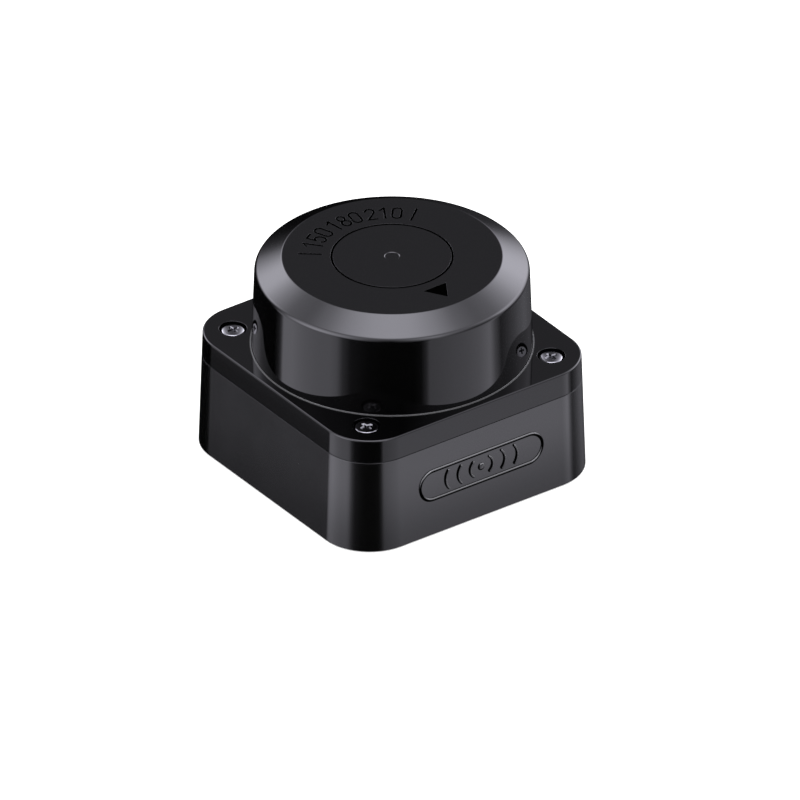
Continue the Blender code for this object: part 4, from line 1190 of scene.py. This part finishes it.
def chip(name, x, y, z, legs, pitch=0.8):
    body = block(f"{name}_b", x, y, z, 0.10, 2)
    hx = x[0] + (x[1] - x[0]) * 0.14
    hy = y[1] - (y[1] - y[0]) * 0.14
    body = carve(body, [("cut", cylinder("d", 0.32, (z[1] - 0.08, z[1] + 1), (hx, hy), 20))])
    feet = []
    zl = z[0] + 0.02
    for side in legs:
        lo, hi = (y if side in "ew" else x)
        n = int((hi - lo - 0.6) / pitch) + 1
        start_at = (lo + hi) / 2 - pitch * (n - 1) / 2
        for i in range(n):
            c = start_at + pitch * i
            if side in "ew":
                e = x[1] if side == "e" else x[0]
                s = 1 if side == "e" else -1
                span = sorted((e - s * 0.1, e + s * 0.55))
                feet.append(block(f"l{side}{i}", span, (c - 0.13, c + 0.13), (zl, zl + 0.14), 0.03, 1))
            else:
                e = y[1] if side == "n" else y[0]
                s = 1 if side == "n" else -1
                span = sorted((e - s * 0.1, e + s * 0.55))
                feet.append(block(f"l{side}{i}", (c - 0.13, c + 0.13), span, (zl, zl + 0.14), 0.03, 1))
    return two_tone(name, [(CHIP, [body]), (TIN, feet)])


stand(chip("controller_package", (-16.5, -9.5), (-17.0, -10.0), (BOARD_TOP, 6.05), "nsew"),
      [CHIP, TIN], "base", "controller_chip")
stand(chip("driver_package", (10.5, 15.5), (-15.5, -10.5), (BOARD_TOP, 5.95), "ew", 0.65),
      [CHIP, TIN], "base", "motor_driver_chip")


def opto(name, half, z, face):
    """A small optical part with a round window set in its outer face (+1 up, -1 down)."""
    body = block(f"{name}_b", (-half, half), (-half, half), z, 0.08, 2)
    at = (z[1] - 0.1, z[1] + 1) if face > 0 else (z[0] - 1, z[0] + 0.1)
    return carve(body, [("cut", cylinder("w", half * 0.62, at, n=32))])


piece(opto("receiver_package", 1.0, (BOARD_TOP, 5.6), 1), CHIP, "base", "link_receiver", "chip_epoxy")
piece(opto("emitter_package", 0.9, (16.68, 17.15), -1), CHIP, "scan_rotor", "link_emitter",
      "chip_epoxy")

# ---- cable socket and its pins
sock = block("socket_shell", (-6.2, 6.2), (20.2, 26.9), (BOARD_TOP, 11.15), 0.16, 2)
steps = [("cut", block("room", (-5.3, 5.3), (21.4, 28.0), (6.05, 10.3), 0.12, 2)),
         ("cut", block("ka", (-3.9, -2.9), (22.4, 28.0), (9.9, 12.0))),
         ("cut", block("kb", (2.9, 3.9), (22.4, 28.0), (9.9, 12.0)))]
for s in (-1, 1):
    steps.append(("cut", block(f"sd{s}", (s * 6.2 - 0.3, s * 6.2 + 0.3), (22.6, 25.2), (6.4, 9.6))))
for i in range(4):
    x = -3.75 + 2.5 * i
    steps.append(("cut", block(f"pw{i}", (x - 0.4, x + 0.4), (19.5, 21.9), (7.75, 8.55))))
piece(carve(sock, steps), NYLON, "base", "cable_socket", "socket_nylon", angle=28)
lay_x = Matrix(((0, 0, 1, 0), (1, 0, 0, 0), (0, 1, 0, 0), (0, 0, 0, 1)))
for i in range(4):
    x = -3.75 + 2.5 * i
    side_loop = [(18.6, 5.15), (19.24, 5.15)] + arc(19.47, 7.60, 0.23, 180, 90, 4) + \
        [(25.30, 7.83), (25.60, 7.99), (25.60, 8.31), (25.30, 8.47)] + \
        arc(19.15, 7.92, 0.55, 90, 180, 6)
    ob = prism(f"bent_pin_{i + 1}", side_loop, (x - 0.32, x + 0.32), lay_x)
    piece(ob, TIN, "base", f"socket_pin_{i + 1}", "tinned_pin", angle=30)

# ---- motor base and fixed parts
base_tube = revolve("motor_base_turned", soft(
    [(5.5, 13.5), (5.5, 8.15), (6.3, 8.15), (6.3, 6.35), (12.0, 6.35), (12.0, BOARD_TOP),
     (4.55, BOARD_TOP), (4.55, 9.65), (3.95, 9.65), (3.95, 10.35), (4.55, 10.35), (4.55, 13.5)],
    0.12), 130)
steps = []
for i, deg in enumerate((90, 210, 330)):
    steps.append(("cut", cylinder(f"fh{i}", 1.15, (4, 8), polar(9.6, deg), 32)))
for i, deg in enumerate((30, 150, 270)):
    steps.append(("cut", cylinder(f"lw{i}", 1.6, (4, 8), polar(9.3, deg), 32)))
piece(carve(base_tube, steps), ALU, "base", "bearing_tube", "turned_aluminium")


def small_screw(name, at, r_head, r_shank, z_under, z_top, z_tip, arm):
    ob = pan_screw(name, (0, 0), r_head, r_shank, z_under, z_top, z_tip, arm, 0.3 * r_head, 36)
    for v in ob.data.vertices:
        v.co += Vector((at[0] * MM, at[1] * MM, 0))
    return ob


for i, deg in enumerate((90, 210, 330)):
    piece(small_screw(f"motor_fixing_{i + 1}", polar(9.6, deg), 1.75, 0.98, 6.4, 7.0, 1.3, 0.95),
          STEEL, "base", f"motor_screw_{i + 1}", "bright_steel", angle=40)
for i, at in enumerate(((14.7, 8.5), (-14.7, 8.5))):
    piece(small_screw(f"rotor_fixing_{i + 1}", at, 1.6, 0.78, 18.25, 19.2, 15.3, 0.85),
          STEEL, "scan_rotor", f"rotor_screw_{i + 1}", "bright_steel", angle=40)


def stator_outline():
    """Six T-shaped teeth on a ring."""
    pts = []
    for t in range(6):
        a = 60.0 * t
        c, s = math.cos(math.radians(a)), math.sin(math.radians(a))

        def put(r, w):
            pts.append((r * c - w * s, r * s + w * c))
        put(7.62, -1.45)
        put(7.80, -1.3)
        put(9.95, -1.3)
        put(10.15, -1.5)
        pts.append(polar(10.40, a - 20))
        pts.extend(polar(11.4, a + d) for d in (-21, -17, -12, -6, 0, 6, 12, 17, 21))
        pts.append(polar(10.40, a + 20))
        put(10.15, 1.5)
        put(9.95, 1.3)
        put(7.80, 1.3)
        put(7.62, 1.45)
    return pts


sheets = []
for j in range(6):                       # a stack of lacquered sheets
    z = 8.2 + 0.5 * j
    sheet = prism(f"sheet{j}", stator_outline(), (z, z + 0.47))
    sheets.append(carve(sheet, [("cut", cylinder("b", 5.56, (z - 1, z + 1), n=64))]))
piece(merged("lamination_stack", sheets), STAMPED, "base", "stator_core", "lamination_steel")

coils = [revolve("neutral_ring", soft([(8.7, 7.75), (8.7, 7.15), (8.0, 7.15), (8.0, 7.75)], 0.2), 72)]
for t in range(6):                       # two layers of turns round each tooth
    for layer, (hx, hz) in enumerate(((1.62, 1.82), (2.02, 2.22))):
        for j in range(6 - layer):
            r = 8.02 + 0.36 * j + 0.18 * layer
            loop = [(r, y, 9.7 + z) for y, z in rounded_rect(hx, hz, 0.45 + 0.35 * layer, n=3)]
            wire = tube(f"w{t}{layer}{j}", [(p[0], p[1], p[2]) for p in loop], 0.185, True, 8)
            turn_by = Matrix.Rotation(math.radians(60 * t), 4, "Z")
            wire.data.transform(turn_by)
            coils.append(wire)
piece(merged("wound_coils", coils), COPPER_Z, "base", "stator_winding", "copper_wire")

carrier = revolve("coil_carrier_moulding", soft(
    [(19.6, 11.15), (19.6, 10.3), (15.0, 10.3), (15.0, 11.15)], 0.15), 128)
piece(carve(carrier, [("join", cylinder(f"leg{i}", 1.5, (BOARD_TOP, 10.8), polar(17.3, deg), 32,
                                        r_top=1.3)) for i, deg in enumerate((30, 150, 270))]),
      INNER, "base", "coil_carrier", "moulded_black")
ring("ferrite_ring_fixed", [(19.5, 12.15), (19.5, 11.2), (15.1, 11.2), (15.1, 12.15)], FERRITE,
     "base", "ferrite", 0.2, 128, "ferrite_ring_lower")
ring("ferrite_ring_turning", [(19.5, 14.95), (19.5, 14.45), (15.1, 14.45), (15.1, 14.95)], FERRITE,
     "scan_rotor", "ferrite", 0.15, 128, "ferrite_ring_upper")


def spiral_coil(name, z0, z1, n=128):
    """A flat coil of nine close turns: each turn shows as a rounded bead."""
    lo, hi, turns = 15.3, 19.2, 9
    w = (hi - lo) / turns
    top, low = [], []
    for t in range(turns):
        c = hi - w * (t + 0.5)
        for d in (50, 25, 0, -25, -50):
            a = math.radians(90 - d)
            top.append((c + 0.5 * w * math.cos(a) * 1.2, z1 - 0.2 + 0.2 * math.sin(a)))
    for t in range(turns):
        c = lo + w * (t + 0.5)
        for d in (50, 25, 0, -25, -50):
            a = math.radians(-90 - d)
            low.append((c + 0.5 * w * math.cos(a) * 1.2, z0 + 0.2 + 0.2 * math.sin(a)))
    return revolve(name, top + low, n)


piece(spiral_coil("power_coil_fixed", 12.2, 13.0), COPPER_R, "base", "power_coil_lower", "copper_wire")
piece(spiral_coil("power_coil_turning", 13.7, 14.4), COPPER_R, "scan_rotor", "power_coil_upper",
      "copper_wire")

fork = block("fork_sensor_housing", (19.9, 23.3), (-2.3, 2.3), (BOARD_TOP, 13.8), 0.18, 2)
piece(carve(fork, [("cut", block("s", (20.8, 22.3), (-4, 4), (9.5, 15.0))),
                   ("cut", cylinder_y("c1", 0.35, (-3.0, -2.15), (20.35, 12.6), 20)),
                   ("cut", block("wn", (20.55, 21.0), (-0.25, 0.25), (10.6, 12.8))),
                   ("cut", block("wf", (22.1, 22.55), (-0.25, 0.25), (10.6, 12.8)))]),
      INNER, "base", "photo_interrupter", "moulded_black")


# ---- ball bearings
def races(prefix, z0, cage_body):
    z1, zm = z0 + 3.0, z0 + 1.5
    track = 0.52 + 0.12

    def groove(side, flip):
        pts = [(3.55 + side * track * math.cos(math.radians(d)), zm + track * math.sin(math.radians(d)))
               for d in range(50, -51, -10)]
        return pts[::-1] if flip else pts
    inner = [(3.16, z1), (3.19, z1 - 0.03), (3.19, zm + 0.62)] + groove(-1, False) + \
        [(3.19, zm - 0.62), (3.19, z0 + 0.03), (3.16, z0), (2.62, z0), (2.53, z0 + 0.09),
         (2.53, z1 - 0.09), (2.62, z1)]
    outer = [(4.38, z1), (4.47, z1 - 0.09), (4.47, z0 + 0.09), (4.38, z0), (3.95, z0),
             (3.92, z0 + 0.03), (3.92, zm - 0.62)] + groove(1, True) + \
        [(3.92, zm + 0.62), (3.92, z1 - 0.03), (3.95, z1)]
    piece(revolve(f"{prefix}_race_inner", inner, 96), RACE, "scan_rotor",
          f"{prefix}_inner_race", "bearing_steel")
    piece(revolve(f"{prefix}_race_outer", outer, 96), RACE, "base",
          f"{prefix}_outer_race", "bearing_steel")
    band = revolve("band", soft([(3.72, zm + 0.62), (3.72, zm - 0.30), (3.38, zm - 0.30),
                                 (3.38, zm + 0.62)], 0.06), 96)
    cuts, balls = [], []
    for b in range(7):
        x, y = polar(3.55, 360.0 / 7 * b + 4)
        for r, store in ((0.55, cuts), (0.52, balls)):
            bm = bmesh.new()
            bmesh.ops.create_uvsphere(bm, u_segments=24, v_segments=14, radius=r,
                                      matrix=Matrix.Translation((x, y, zm)))
            store.append(from_bm(f"s{b}{r}", scaled(bm)))
    band = carve(band, [("cut", c) for c in cuts])
    stand(two_tone(f"{prefix}_balls_in_cage", [(CAGE, [band]), (RACE, balls)]), [CAGE, RACE],
          cage_body, f"{prefix}_ball_cage")


races("lower_bearing", 6.6, "lower_cage")
races("upper_bearing", 10.4, "upper_cage")

# ---- rotor
ring("hollow_shaft", [(2.5, 16.5), (2.5, 13.95), (3.15, 13.95), (3.15, 13.45), (2.5, 13.45),
                      (2.5, 6.52), (2.2, 6.52), (2.2, 6.1), (2.5, 6.1), (2.5, 5.85),
                      (1.1, 5.85), (1.1, 16.5)], STEEL, "scan_rotor", "bright_steel", 0.1, 96,
     "rotor_shaft")
clip_loop = arc(0, 0, 3.4, 30, 330, 40) + arc(0, 0, 3.4 - 0.18, 334, 334, 1)[:1] + \
    arc(0, 0, 2.35, 330, 30, 40)
piece(prism("snap_ring", clip_loop, (6.16, 6.46)), RACE, "scan_rotor", "shaft_clip",
      "bearing_steel")
ring("drawn_bell", [(14.3, 14.8), (14.3, 7.0), (13.45, 7.0), (13.45, 14.0), (2.56, 14.0),
                    (2.56, 14.8)], STAMPED, "scan_rotor", "lamination_steel", 0.35, 128,
     "rotor_bell")
ring("ring_magnet", [(13.4, 12.0), (13.4, 7.6), (11.9, 7.6), (11.9, 12.0)], MAGNET, "scan_rotor",
     "magnet_nickel", 0.18, 128, "magnet_ring")
ROTOR_AT = [(14.7, 8.5), (-14.7, 8.5)]
table = revolve("turntable_moulding", soft(
    [(21.8, 16.6), (21.8, 15.0), (5.0, 15.0), (5.0, 14.85), (2.56, 14.85), (2.56, 16.6)], 0.15), 128)
steps = [("join", cylinder(f"tb{i}", 1.75, (16.0, 17.15), at, 32, r_top=1.65))
         for i, at in enumerate(ROTOR_AT + [(11.5, -9.0), (-11.5, -9.0)])]
steps += [("cut", cylinder(f"th{i}", 0.84, (14.5, 18.0), at, 24)) for i, at in enumerate(ROTOR_AT)]
piece(carve(table, steps), INNER, "scan_rotor", "turntable", "moulded_black")
comb = revolve("slotted_ring", soft(
    [(21.8, 14.95), (21.8, 11.8), (21.25, 11.8), (21.25, 14.2), (20.0, 14.2), (20.0, 14.95)],
    0.08), 144)
piece(carve(comb, [("cut", block(f"s{j}", (-23.0, 23.0), (-1.0, 1.0), (11.0, 13.4),
                                 turn=math.radians(20 * j + 5))) for j in range(9)]),
      INNER, "scan_rotor", "encoder_ring", "moulded_black")
disc_board = plate("rotor_board_laminate", arc(0, 0, 20.5, 0, 360, 128)[:-1], (17.2, 18.2),
                   [(at, 1.0) for at in ROTOR_AT])
pb, pe = passives([(-15.6, -1.0, 0), (-17.4, -1.0, 0), (15.8, -2.0, 0), (17.6, -2.0, 0),
                   (-16.4, 3.2, 1), (16.4, 2.6, 1), (9.5, 4.6, 1), (9.5, 6.2, 1),
                   (-9.5, 4.6, 1), (-9.5, 6.2, 1)], 18.2)
stand(two_tone("rotor_board_populated", [(BOARD, [disc_board]), (CHIP, pb), (TIN, pe)]),
      [BOARD, CHIP, TIN], "scan_rotor", "rotor_board")

# ---- optics
LZ, RXX, TXX = 28.0, 5.5, -8.2
carrier_block = block("optics_carrier", (-14.0, 14.0), (-17.0, 1.0), (18.25, 36.0), 0.7, 4)
rx_bore = [(0, -3.0), (2.25, -3.0), (2.25, 1.0), (5.95, 13.2), (6.75, 13.2), (6.75, 16.65),
           (7.25, 17.25), (7.25, 18.5), (0, 18.5)]
tx_bore = [(0, -3.0), (2.15, -3.0), (2.15, 3.0), (3.57, 14.5), (4.2, 14.5), (4.2, 16.65),
           (4.65, 17.2), (4.65, 18.5), (0, 18.5)]
steps = [("cut", revolve("rx", rx_bore, 98, (RXX, 0, LZ), closed=False, lay=True)),
         ("cut", revolve("tx", tx_bore, 74, (TXX, 0, LZ), closed=False, lay=True))]
for i, z in enumerate((21.5, 34.0)):
    steps.append(("cut", cylinder_y(f"op{i}", 0.84, (-4.5, 3.0), (-1.2, z), 24)))
piece(carve(carrier_block, steps), INNER, "scan_rotor", "optics_block", "moulded_black", angle=30)


def plano_convex(name, r, edge, bulge, y_flat, x):
    big = (r * r + bulge * bulge) / (2 * bulge)
    crown = [(r * i / 12, edge + bulge - (big - math.sqrt(big * big - (r * i / 12) ** 2)))
             for i in range(13)]
    crown[-1] = (r - 0.12, edge + 0.02)
    return revolve(name, crown + [(r, edge - 0.12), (r, 0.1), (r - 0.1, 0.0), (0, 0.0)], 96,
                   (x, y_flat, LZ), closed=False, lay=True)


piece(plano_convex("receiver_lens_glass", 6.52, 1.2, 2.2, -13.28, RXX), LENS, "scan_rotor",
      "receiver_lens", "coated_lens", angle=25)
piece(plano_convex("emitter_lens_glass", 4.02, 1.0, 1.35, -14.57, TXX), LENS, "scan_rotor",
      "emitter_lens", "coated_lens", angle=25)
can = turned_solid("diode_can", [(0, 2.62), (0.55, 2.62), (0.60, 2.7), (1.6, 2.7), (1.6, 0.0),
                                 (2.0, 0.0), (2.0, -0.9), (0, -0.9)], 64, (TXX, 0.1, LZ), 0.08,
                   lay=True)
piece(can, GOLD, "scan_rotor", "laser_diode", "gold_can")
piece(turned_solid("filter_disc", [(0, 0.5), (2.1, 0.5), (2.1, 0.0), (0, 0.0)], 64,
                   (RXX, -0.2, LZ), 0.06, lay=True),
      LENS, "scan_rotor", "bandpass_filter", "coated_lens")
det = block("detector_package", (RXX - 1.4, RXX + 1.4), (0.35, 1.05), (LZ - 1.4, LZ + 1.4), 0.08, 2)
piece(carve(det, [("cut", block("w", (RXX - 0.8, RXX + 0.8), (0.0, 0.45), (LZ - 0.8, LZ + 0.8)))]),
      CHIP, "scan_rotor", "detector_chip", "chip_epoxy")
card = block("optics_board_laminate", (-13.4, 13.4), (1.1, 2.1), (18.6, 35.4), 0.05, 1)
card = carve(card, [("cut", cylinder_y(f"oh{i}", 1.0, (0.0, 3.0), (-1.2, z), 32))
                    for i, z in enumerate((21.5, 34.0))])
cb, ce = [], []
for i, (x, z) in enumerate(((-11.0, 21.0), (-9.0, 21.0), (9.6, 21.0), (11.4, 21.0), (-11.0, 33.0),
                            (10.8, 33.4), (8.8, 33.4), (3.0, 20.6), (5.0, 20.6))):
    cb.append(block(f"cb{i}", (x - 0.4, x + 0.4), (2.05, 2.6), (z - 0.5, z + 0.5), 0.04, 1))
    for s in (-1, 1):
        ce.append(block(f"ce{i}{s}", (x - 0.42, x + 0.42), (2.05, 2.63),
                        (z + s * 0.62 - 0.2, z + s * 0.62 + 0.2), 0.05, 1))
stand(two_tone("optics_board_populated", [(BOARD, [card]), (CHIP, cb), (TIN, ce)]),
      [BOARD, CHIP, TIN], "scan_rotor", "optics_board")
for i, z in enumerate((21.5, 34.0)):
    ob = pan_screw(f"optics_fixing_{i + 1}", (0, 0), 1.5, 0.76, 2.15, 3.05, -4.2, 0.8, 0.45, 36)
    turn_by = Matrix.Translation((-1.2 * MM, 0, z * MM)) @ Matrix.Rotation(-math.pi / 2, 4, "X")
    ob.data.transform(turn_by)
    piece(ob, STEEL, "scan_rotor", f"optics_screw_{i + 1}", "bright_steel", angle=40)

slab = arc(0, 0, 20.0, 54, 126, 24) + arc(0, 0, 14.5, 120, 60, 20)
weight = prism("balance_slab", slab, (18.3, 22.8))
piece(weight, CAGE, "scan_rotor", "counterweight", "cage_brass")

# ================================================================= camera
AZ, EL = math.radians(-35.849), math.radians(31.637)
right = Vector((math.cos(AZ), math.sin(AZ), 0))
up = Vector((-math.sin(AZ) * math.sin(EL), math.cos(AZ) * math.sin(EL), math.cos(EL)))
back = right.cross(up).normalized()
PX = 5.5375 * 1000                                   # picture pixels per metre
cam_data = bpy.data.cameras.new("camera")
cam_data.type = "ORTHO"
cam_data.ortho_scale = 800 / PX
cam_data.clip_end = 20
cam = bpy.data.objects.new("camera", cam_data)
scene.collection.objects.link(cam)
m = Matrix((right, up, back)).transposed().to_4x4()
m.translation = right * 0.001430 + up * 0.009161 + back * 1.2
cam.matrix_world = m
scene.camera = cam

# ================================================================= light and floor
scene.view_settings.view_transform = "Standard"
scene.view_settings.look = "None"
scene.view_settings.exposure = 0.0
scene.view_settings.gamma = 1.0

world = bpy.data.worlds.new("studio")
scene.world = world
world.use_nodes = True
world.node_tree.nodes.clear()
k = Nodes(world.node_tree)
tc = k.add("ShaderNodeTexCoord")
ahead = Vector((back.x, back.y, 0)).normalized()     # horizontally towards the camera


def dot(vec):
    n = k.add("ShaderNodeVectorMath", operation="DOT_PRODUCT")
    k.put(n.inputs[0], tc.outputs["Generated"])
    n.inputs[1].default_value = vec
    return n.outputs["Value"]


azimuth = k.math("ARCTAN2", dot(right), dot(ahead))                 # 0 towards the camera
turn = k.math("ADD", k.math("MULTIPLY", azimuth, 1 / (2 * math.pi)), 0.5)
height = k.math("MULTIPLY", k.math("ARCSINE", dot(Vector((0, 0, 1)))), 180 / math.pi)


def ramp(value, stops, top=2.0):
    n = k.add("ShaderNodeValToRGB")
    k.put(n.inputs[0], value)
    cr = n.color_ramp
    cr.interpolation = "LINEAR"
    while len(cr.elements) > 1:
        cr.elements.remove(cr.elements[-1])
    for j, (p, s) in enumerate(stops):
        e = cr.elements[0] if j == 0 else cr.elements.new(p)
        e.position = p
        e.color = (s / top, s / top, s / top, 1)
    return k.math("MULTIPLY", n.outputs["Color"], top)


# what the upright walls see: light panels and black gaps round the set, by azimuth
LOW = [(-180, 0.004), (-136, 0.004), (-112, 0.0), (-106.5, 0.10),
       (-103.5, 0.4), (-101, 1.30), (-90, 1.56), (-76, 1.44), (-64, 1.38), (-52, 1.42),
       (-46, 1.18), (-41, 0.42), (-34, 0.10), (-20, 0.02), (-6, 0.0), (18, 0.0), (24, 0.04),
       (28, 0.30), (31, 0.88), (40, 0.96), (52, 1.06), (64, 1.12), (76, 1.24), (88, 1.52),
       (94, 0.66), (101, 0.15), (114, 0.27), (128, 0.35), (140, 0.32), (152, 0.18),
       (164, 0.10), (180, 0.01)]
low = ramp(turn, [((a + 180) / 360, s) for a, s in LOW], 2.2)
# what tilted faces see: the back panels and the overhead panel, by height
LEFT = [(-90, 0.0), (-12, 0.0), (-1, 0.05), (6, 0.15), (10, 0.45), (17, 1.9), (24.5, 4.1),
        (32, 5.0), (40, 3.1), (48, 1.5), (56, 1.3), (65, 2.45), (73, 4.5), (82, 5.9), (90, 6.2)]
RIGHT = [(-90, 0.0), (-12, 0.04), (-1, 0.86), (5, 1.95), (10, 2.75), (17, 3.75), (24.5, 4.75),
         (32, 4.5), (40, 3.0), (48, 1.7), (56, 1.35), (65, 2.15), (73, 4.2), (82, 5.9),
         (90, 6.2)]
tall = k.math("ADD", k.math("MULTIPLY", height, 1 / 180), 0.5)
left = ramp(tall, [((a + 90) / 180, s) for a, s in LEFT], 7.0)
rightward = ramp(tall, [((a + 90) / 180, s) for a, s in RIGHT], 7.0)
degrees = k.math("MULTIPLY", azimuth, 180 / math.pi)
side = k.math("ABSOLUTE", degrees)
share = k.smooth(degrees, -15.0, 15.0)
panel = k.math("ADD", k.math("MULTIPLY", left, k.math("SUBTRACT", 1.0, share)),
               k.math("MULTIPLY", rightward, share))
beside = k.math("ADD", k.math("MULTIPLY", k.smooth(side, 98.0, 128.0), k.math("SUBTRACT", 1.0, share)),
                k.math("MULTIPLY", k.smooth(side, 90.0, 106.0), share))
window = k.math("MULTIPLY", k.smooth(side, 178.0, 152.0, 0.02, 1.0), beside)
window = k.math("MAXIMUM", window, k.smooth(height, 48.0, 62.0))
# the camera's own side of the set: two softer panels that only rounded edges catch
FRONT = [(-180, 0.0), (-112, 0.0), (-104, 0.3), (-98, 0.8), (-93, 1.6), (-88, 2.6), (-74, 4.3),
         (-63, 4.9), (-52, 4.4), (-41, 3.4), (-30, 1.9), (-19, 0.8), (-7, 0.12), (0, 0.0),
         (8, 0.5), (15, 1.1), (26, 2.15), (37, 3.0), (49, 1.7), (60, 1.1), (70, 0.7),
         (80, 1.0), (91, 1.8), (98, 2.4), (106, 3.0), (115, 2.0), (180, 0.0)]
NEAR_LEFT = [(-90, 0.5), (-14, 0.55), (-4, 0.72), (6, 0.92), (16, 1.0), (25, 0.93), (36, 0.62),
             (45, 0.38), (56, 0.1), (90, 0.0)]
NEAR_RIGHT = [(-90, 0.4), (-14, 0.4), (0, 0.45), (10, 0.6), (21, 0.85), (32, 1.0), (38, 0.85),
              (45, 0.6), (55, 0.25), (90, 0.0)]
RISE = [(-90, 0.0), (0, 0.0), (12, 0.15), (24, 0.35), (36, 0.75), (48, 1.35), (60, 1.5), (90, 1.5)]
near = k.math("ADD", k.math("MULTIPLY", ramp(tall, [((a + 90) / 180, s) for a, s in NEAR_LEFT]),
                            k.math("SUBTRACT", 1.0, share)),
              k.math("MULTIPLY", ramp(tall, [((a + 90) / 180, s) for a, s in NEAR_RIGHT]), share))
near = k.math("MULTIPLY", near, ramp(turn, [((a + 180) / 360, s) for a, s in FRONT], 5.5))
near = k.math("ADD", near, ramp(tall, [((a + 90) / 180, s) for a, s in RISE]))
near = k.math("MULTIPLY", near, k.math("MULTIPLY", k.math("SUBTRACT", 1.0, beside),
                                       k.smooth(height, 62.0, 48.0)))
high = k.math("ADD", k.math("MULTIPLY", panel, window), k.smooth(height, 10.0, 26.0, 0.0, 0.12))
high = k.math("ADD", high, near)
blend_up = k.smooth(height, -14.0, 2.0)
glossy = k.math("ADD", k.math("MULTIPLY", low, k.math("SUBTRACT", 1.0, blend_up)),
                k.math("MULTIPLY", high, blend_up))
path = k.add("ShaderNodeLightPath")
# a second mirror bounce sees the set dimmer, as the studio's own shadows would make it
again = k.math("GREATER_THAN", path.outputs["Glossy Depth"], 1.5)
SECOND = [(-180, 0.04), (-172, 0.10), (-164, 1.1), (-156, 2.2), (-148, 2.4), (-142, 2.3),
          (-136, 1.6), (-124, 1.2), (-110, 0.90), (-91, 0.78), (-74, 1.1), (-57, 0.81),
          (-41, 0.65), (-30, 0.42), (-16, 0.26), (-7, 0.15), (8, 0.05), (15, 0.25), (33, 0.93),
          (53, 1.31), (75, 1.40), (98, 1.57), (104, 1.25), (116, 1.37), (128, 1.7), (133, 1.5),
          (152, 1.25), (160, 0.85), (168, 0.25), (174, 0.05), (180, 0.03)]
second = k.math("MULTIPLY", ramp(turn, [((a + 180) / 360, s) for a, s in SECOND], 3.0), blend_up)
second = k.math("ADD", second, k.math("MULTIPLY", k.math("MULTIPLY", low, k.math(
    "SUBTRACT", 1.0, blend_up)), 0.30))
glossy = k.math("ADD", k.math("MULTIPLY", glossy, k.math("SUBTRACT", 1.0, again)),
                k.math("MULTIPLY", second, again))
soft = k.smooth(height, -20.0, 90.0, 0.75, 1.35)
strength = k.math("ADD", k.math("MULTIPLY", soft, k.math("SUBTRACT", 1.0, path.outputs["Is Glossy Ray"])),
                  k.math("MULTIPLY", glossy, path.outputs["Is Glossy Ray"]))
camera_ray = path.outputs["Is Camera Ray"]
strength = k.math("ADD", k.math("MULTIPLY", strength, k.math("SUBTRACT", 1.0, camera_ray)),
                  k.math("MULTIPLY", 1.0, camera_ray))
bg = k.add("ShaderNodeBackground")
k.put(bg.inputs["Strength"], strength)
k.put(bg.inputs["Color"], k.mix(path.outputs["Is Glossy Ray"], rgb(1, 1, 1), rgb(1.0, 0.985, 1.10)))
out = k.add("ShaderNodeOutputWorld")
k.t.links.new(bg.outputs[0], out.inputs[0])

key_data = bpy.data.lights.new("key_softbox", "AREA")
key_data.shape = "DISK"
key_data.size = 0.6
key_data.energy = 3.0
key = bpy.data.objects.new("key_softbox", key_data)
scene.collection.objects.link(key)
key.location = (-0.25, -0.35, 0.75)
key.rotation_euler = (Vector((0, 0, 0.02)) - key.location).to_track_quat("-Z", "Y").to_euler()
key.visible_glossy = False

bm = bmesh.new()
bmesh.ops.create_grid(bm, x_segments=8, y_segments=8, size=2.0)
floor = from_bm("studio_floor", bm)
floor.location.z = -0.0002
fm, k, p, v = start("pale_floor")
geo = k.add("ShaderNodeNewGeometry")
clear = k.add("ShaderNodeBsdfTransparent")
shade = k.add("ShaderNodeMixShader")
k.put(p.inputs["Base Color"], k.mix(k.noise(v, 0.01, 2), rgb(0.93, 0.93, 0.93), rgb(0.97, 0.97, 0.97)))
p.inputs["Roughness"].default_value = 0.9
p.inputs["Specular IOR Level"].default_value = 0.0
p.inputs["Emission Color"].default_value = rgb(1, 1, 1)
p.inputs["Emission Strength"].default_value = 0.45
k.put(shade.inputs[0], geo.outputs["Backfacing"])
k.t.links.new(p.outputs[0], shade.inputs[1])
k.t.links.new(clear.outputs[0], shade.inputs[2])
mo = fm.node_tree.nodes["Material Output"]
k.t.links.new(shade.outputs[0], mo.inputs["Surface"])
dress(floor, fm)
floor.visible_glossy = False

bpy.context.view_layer.update()
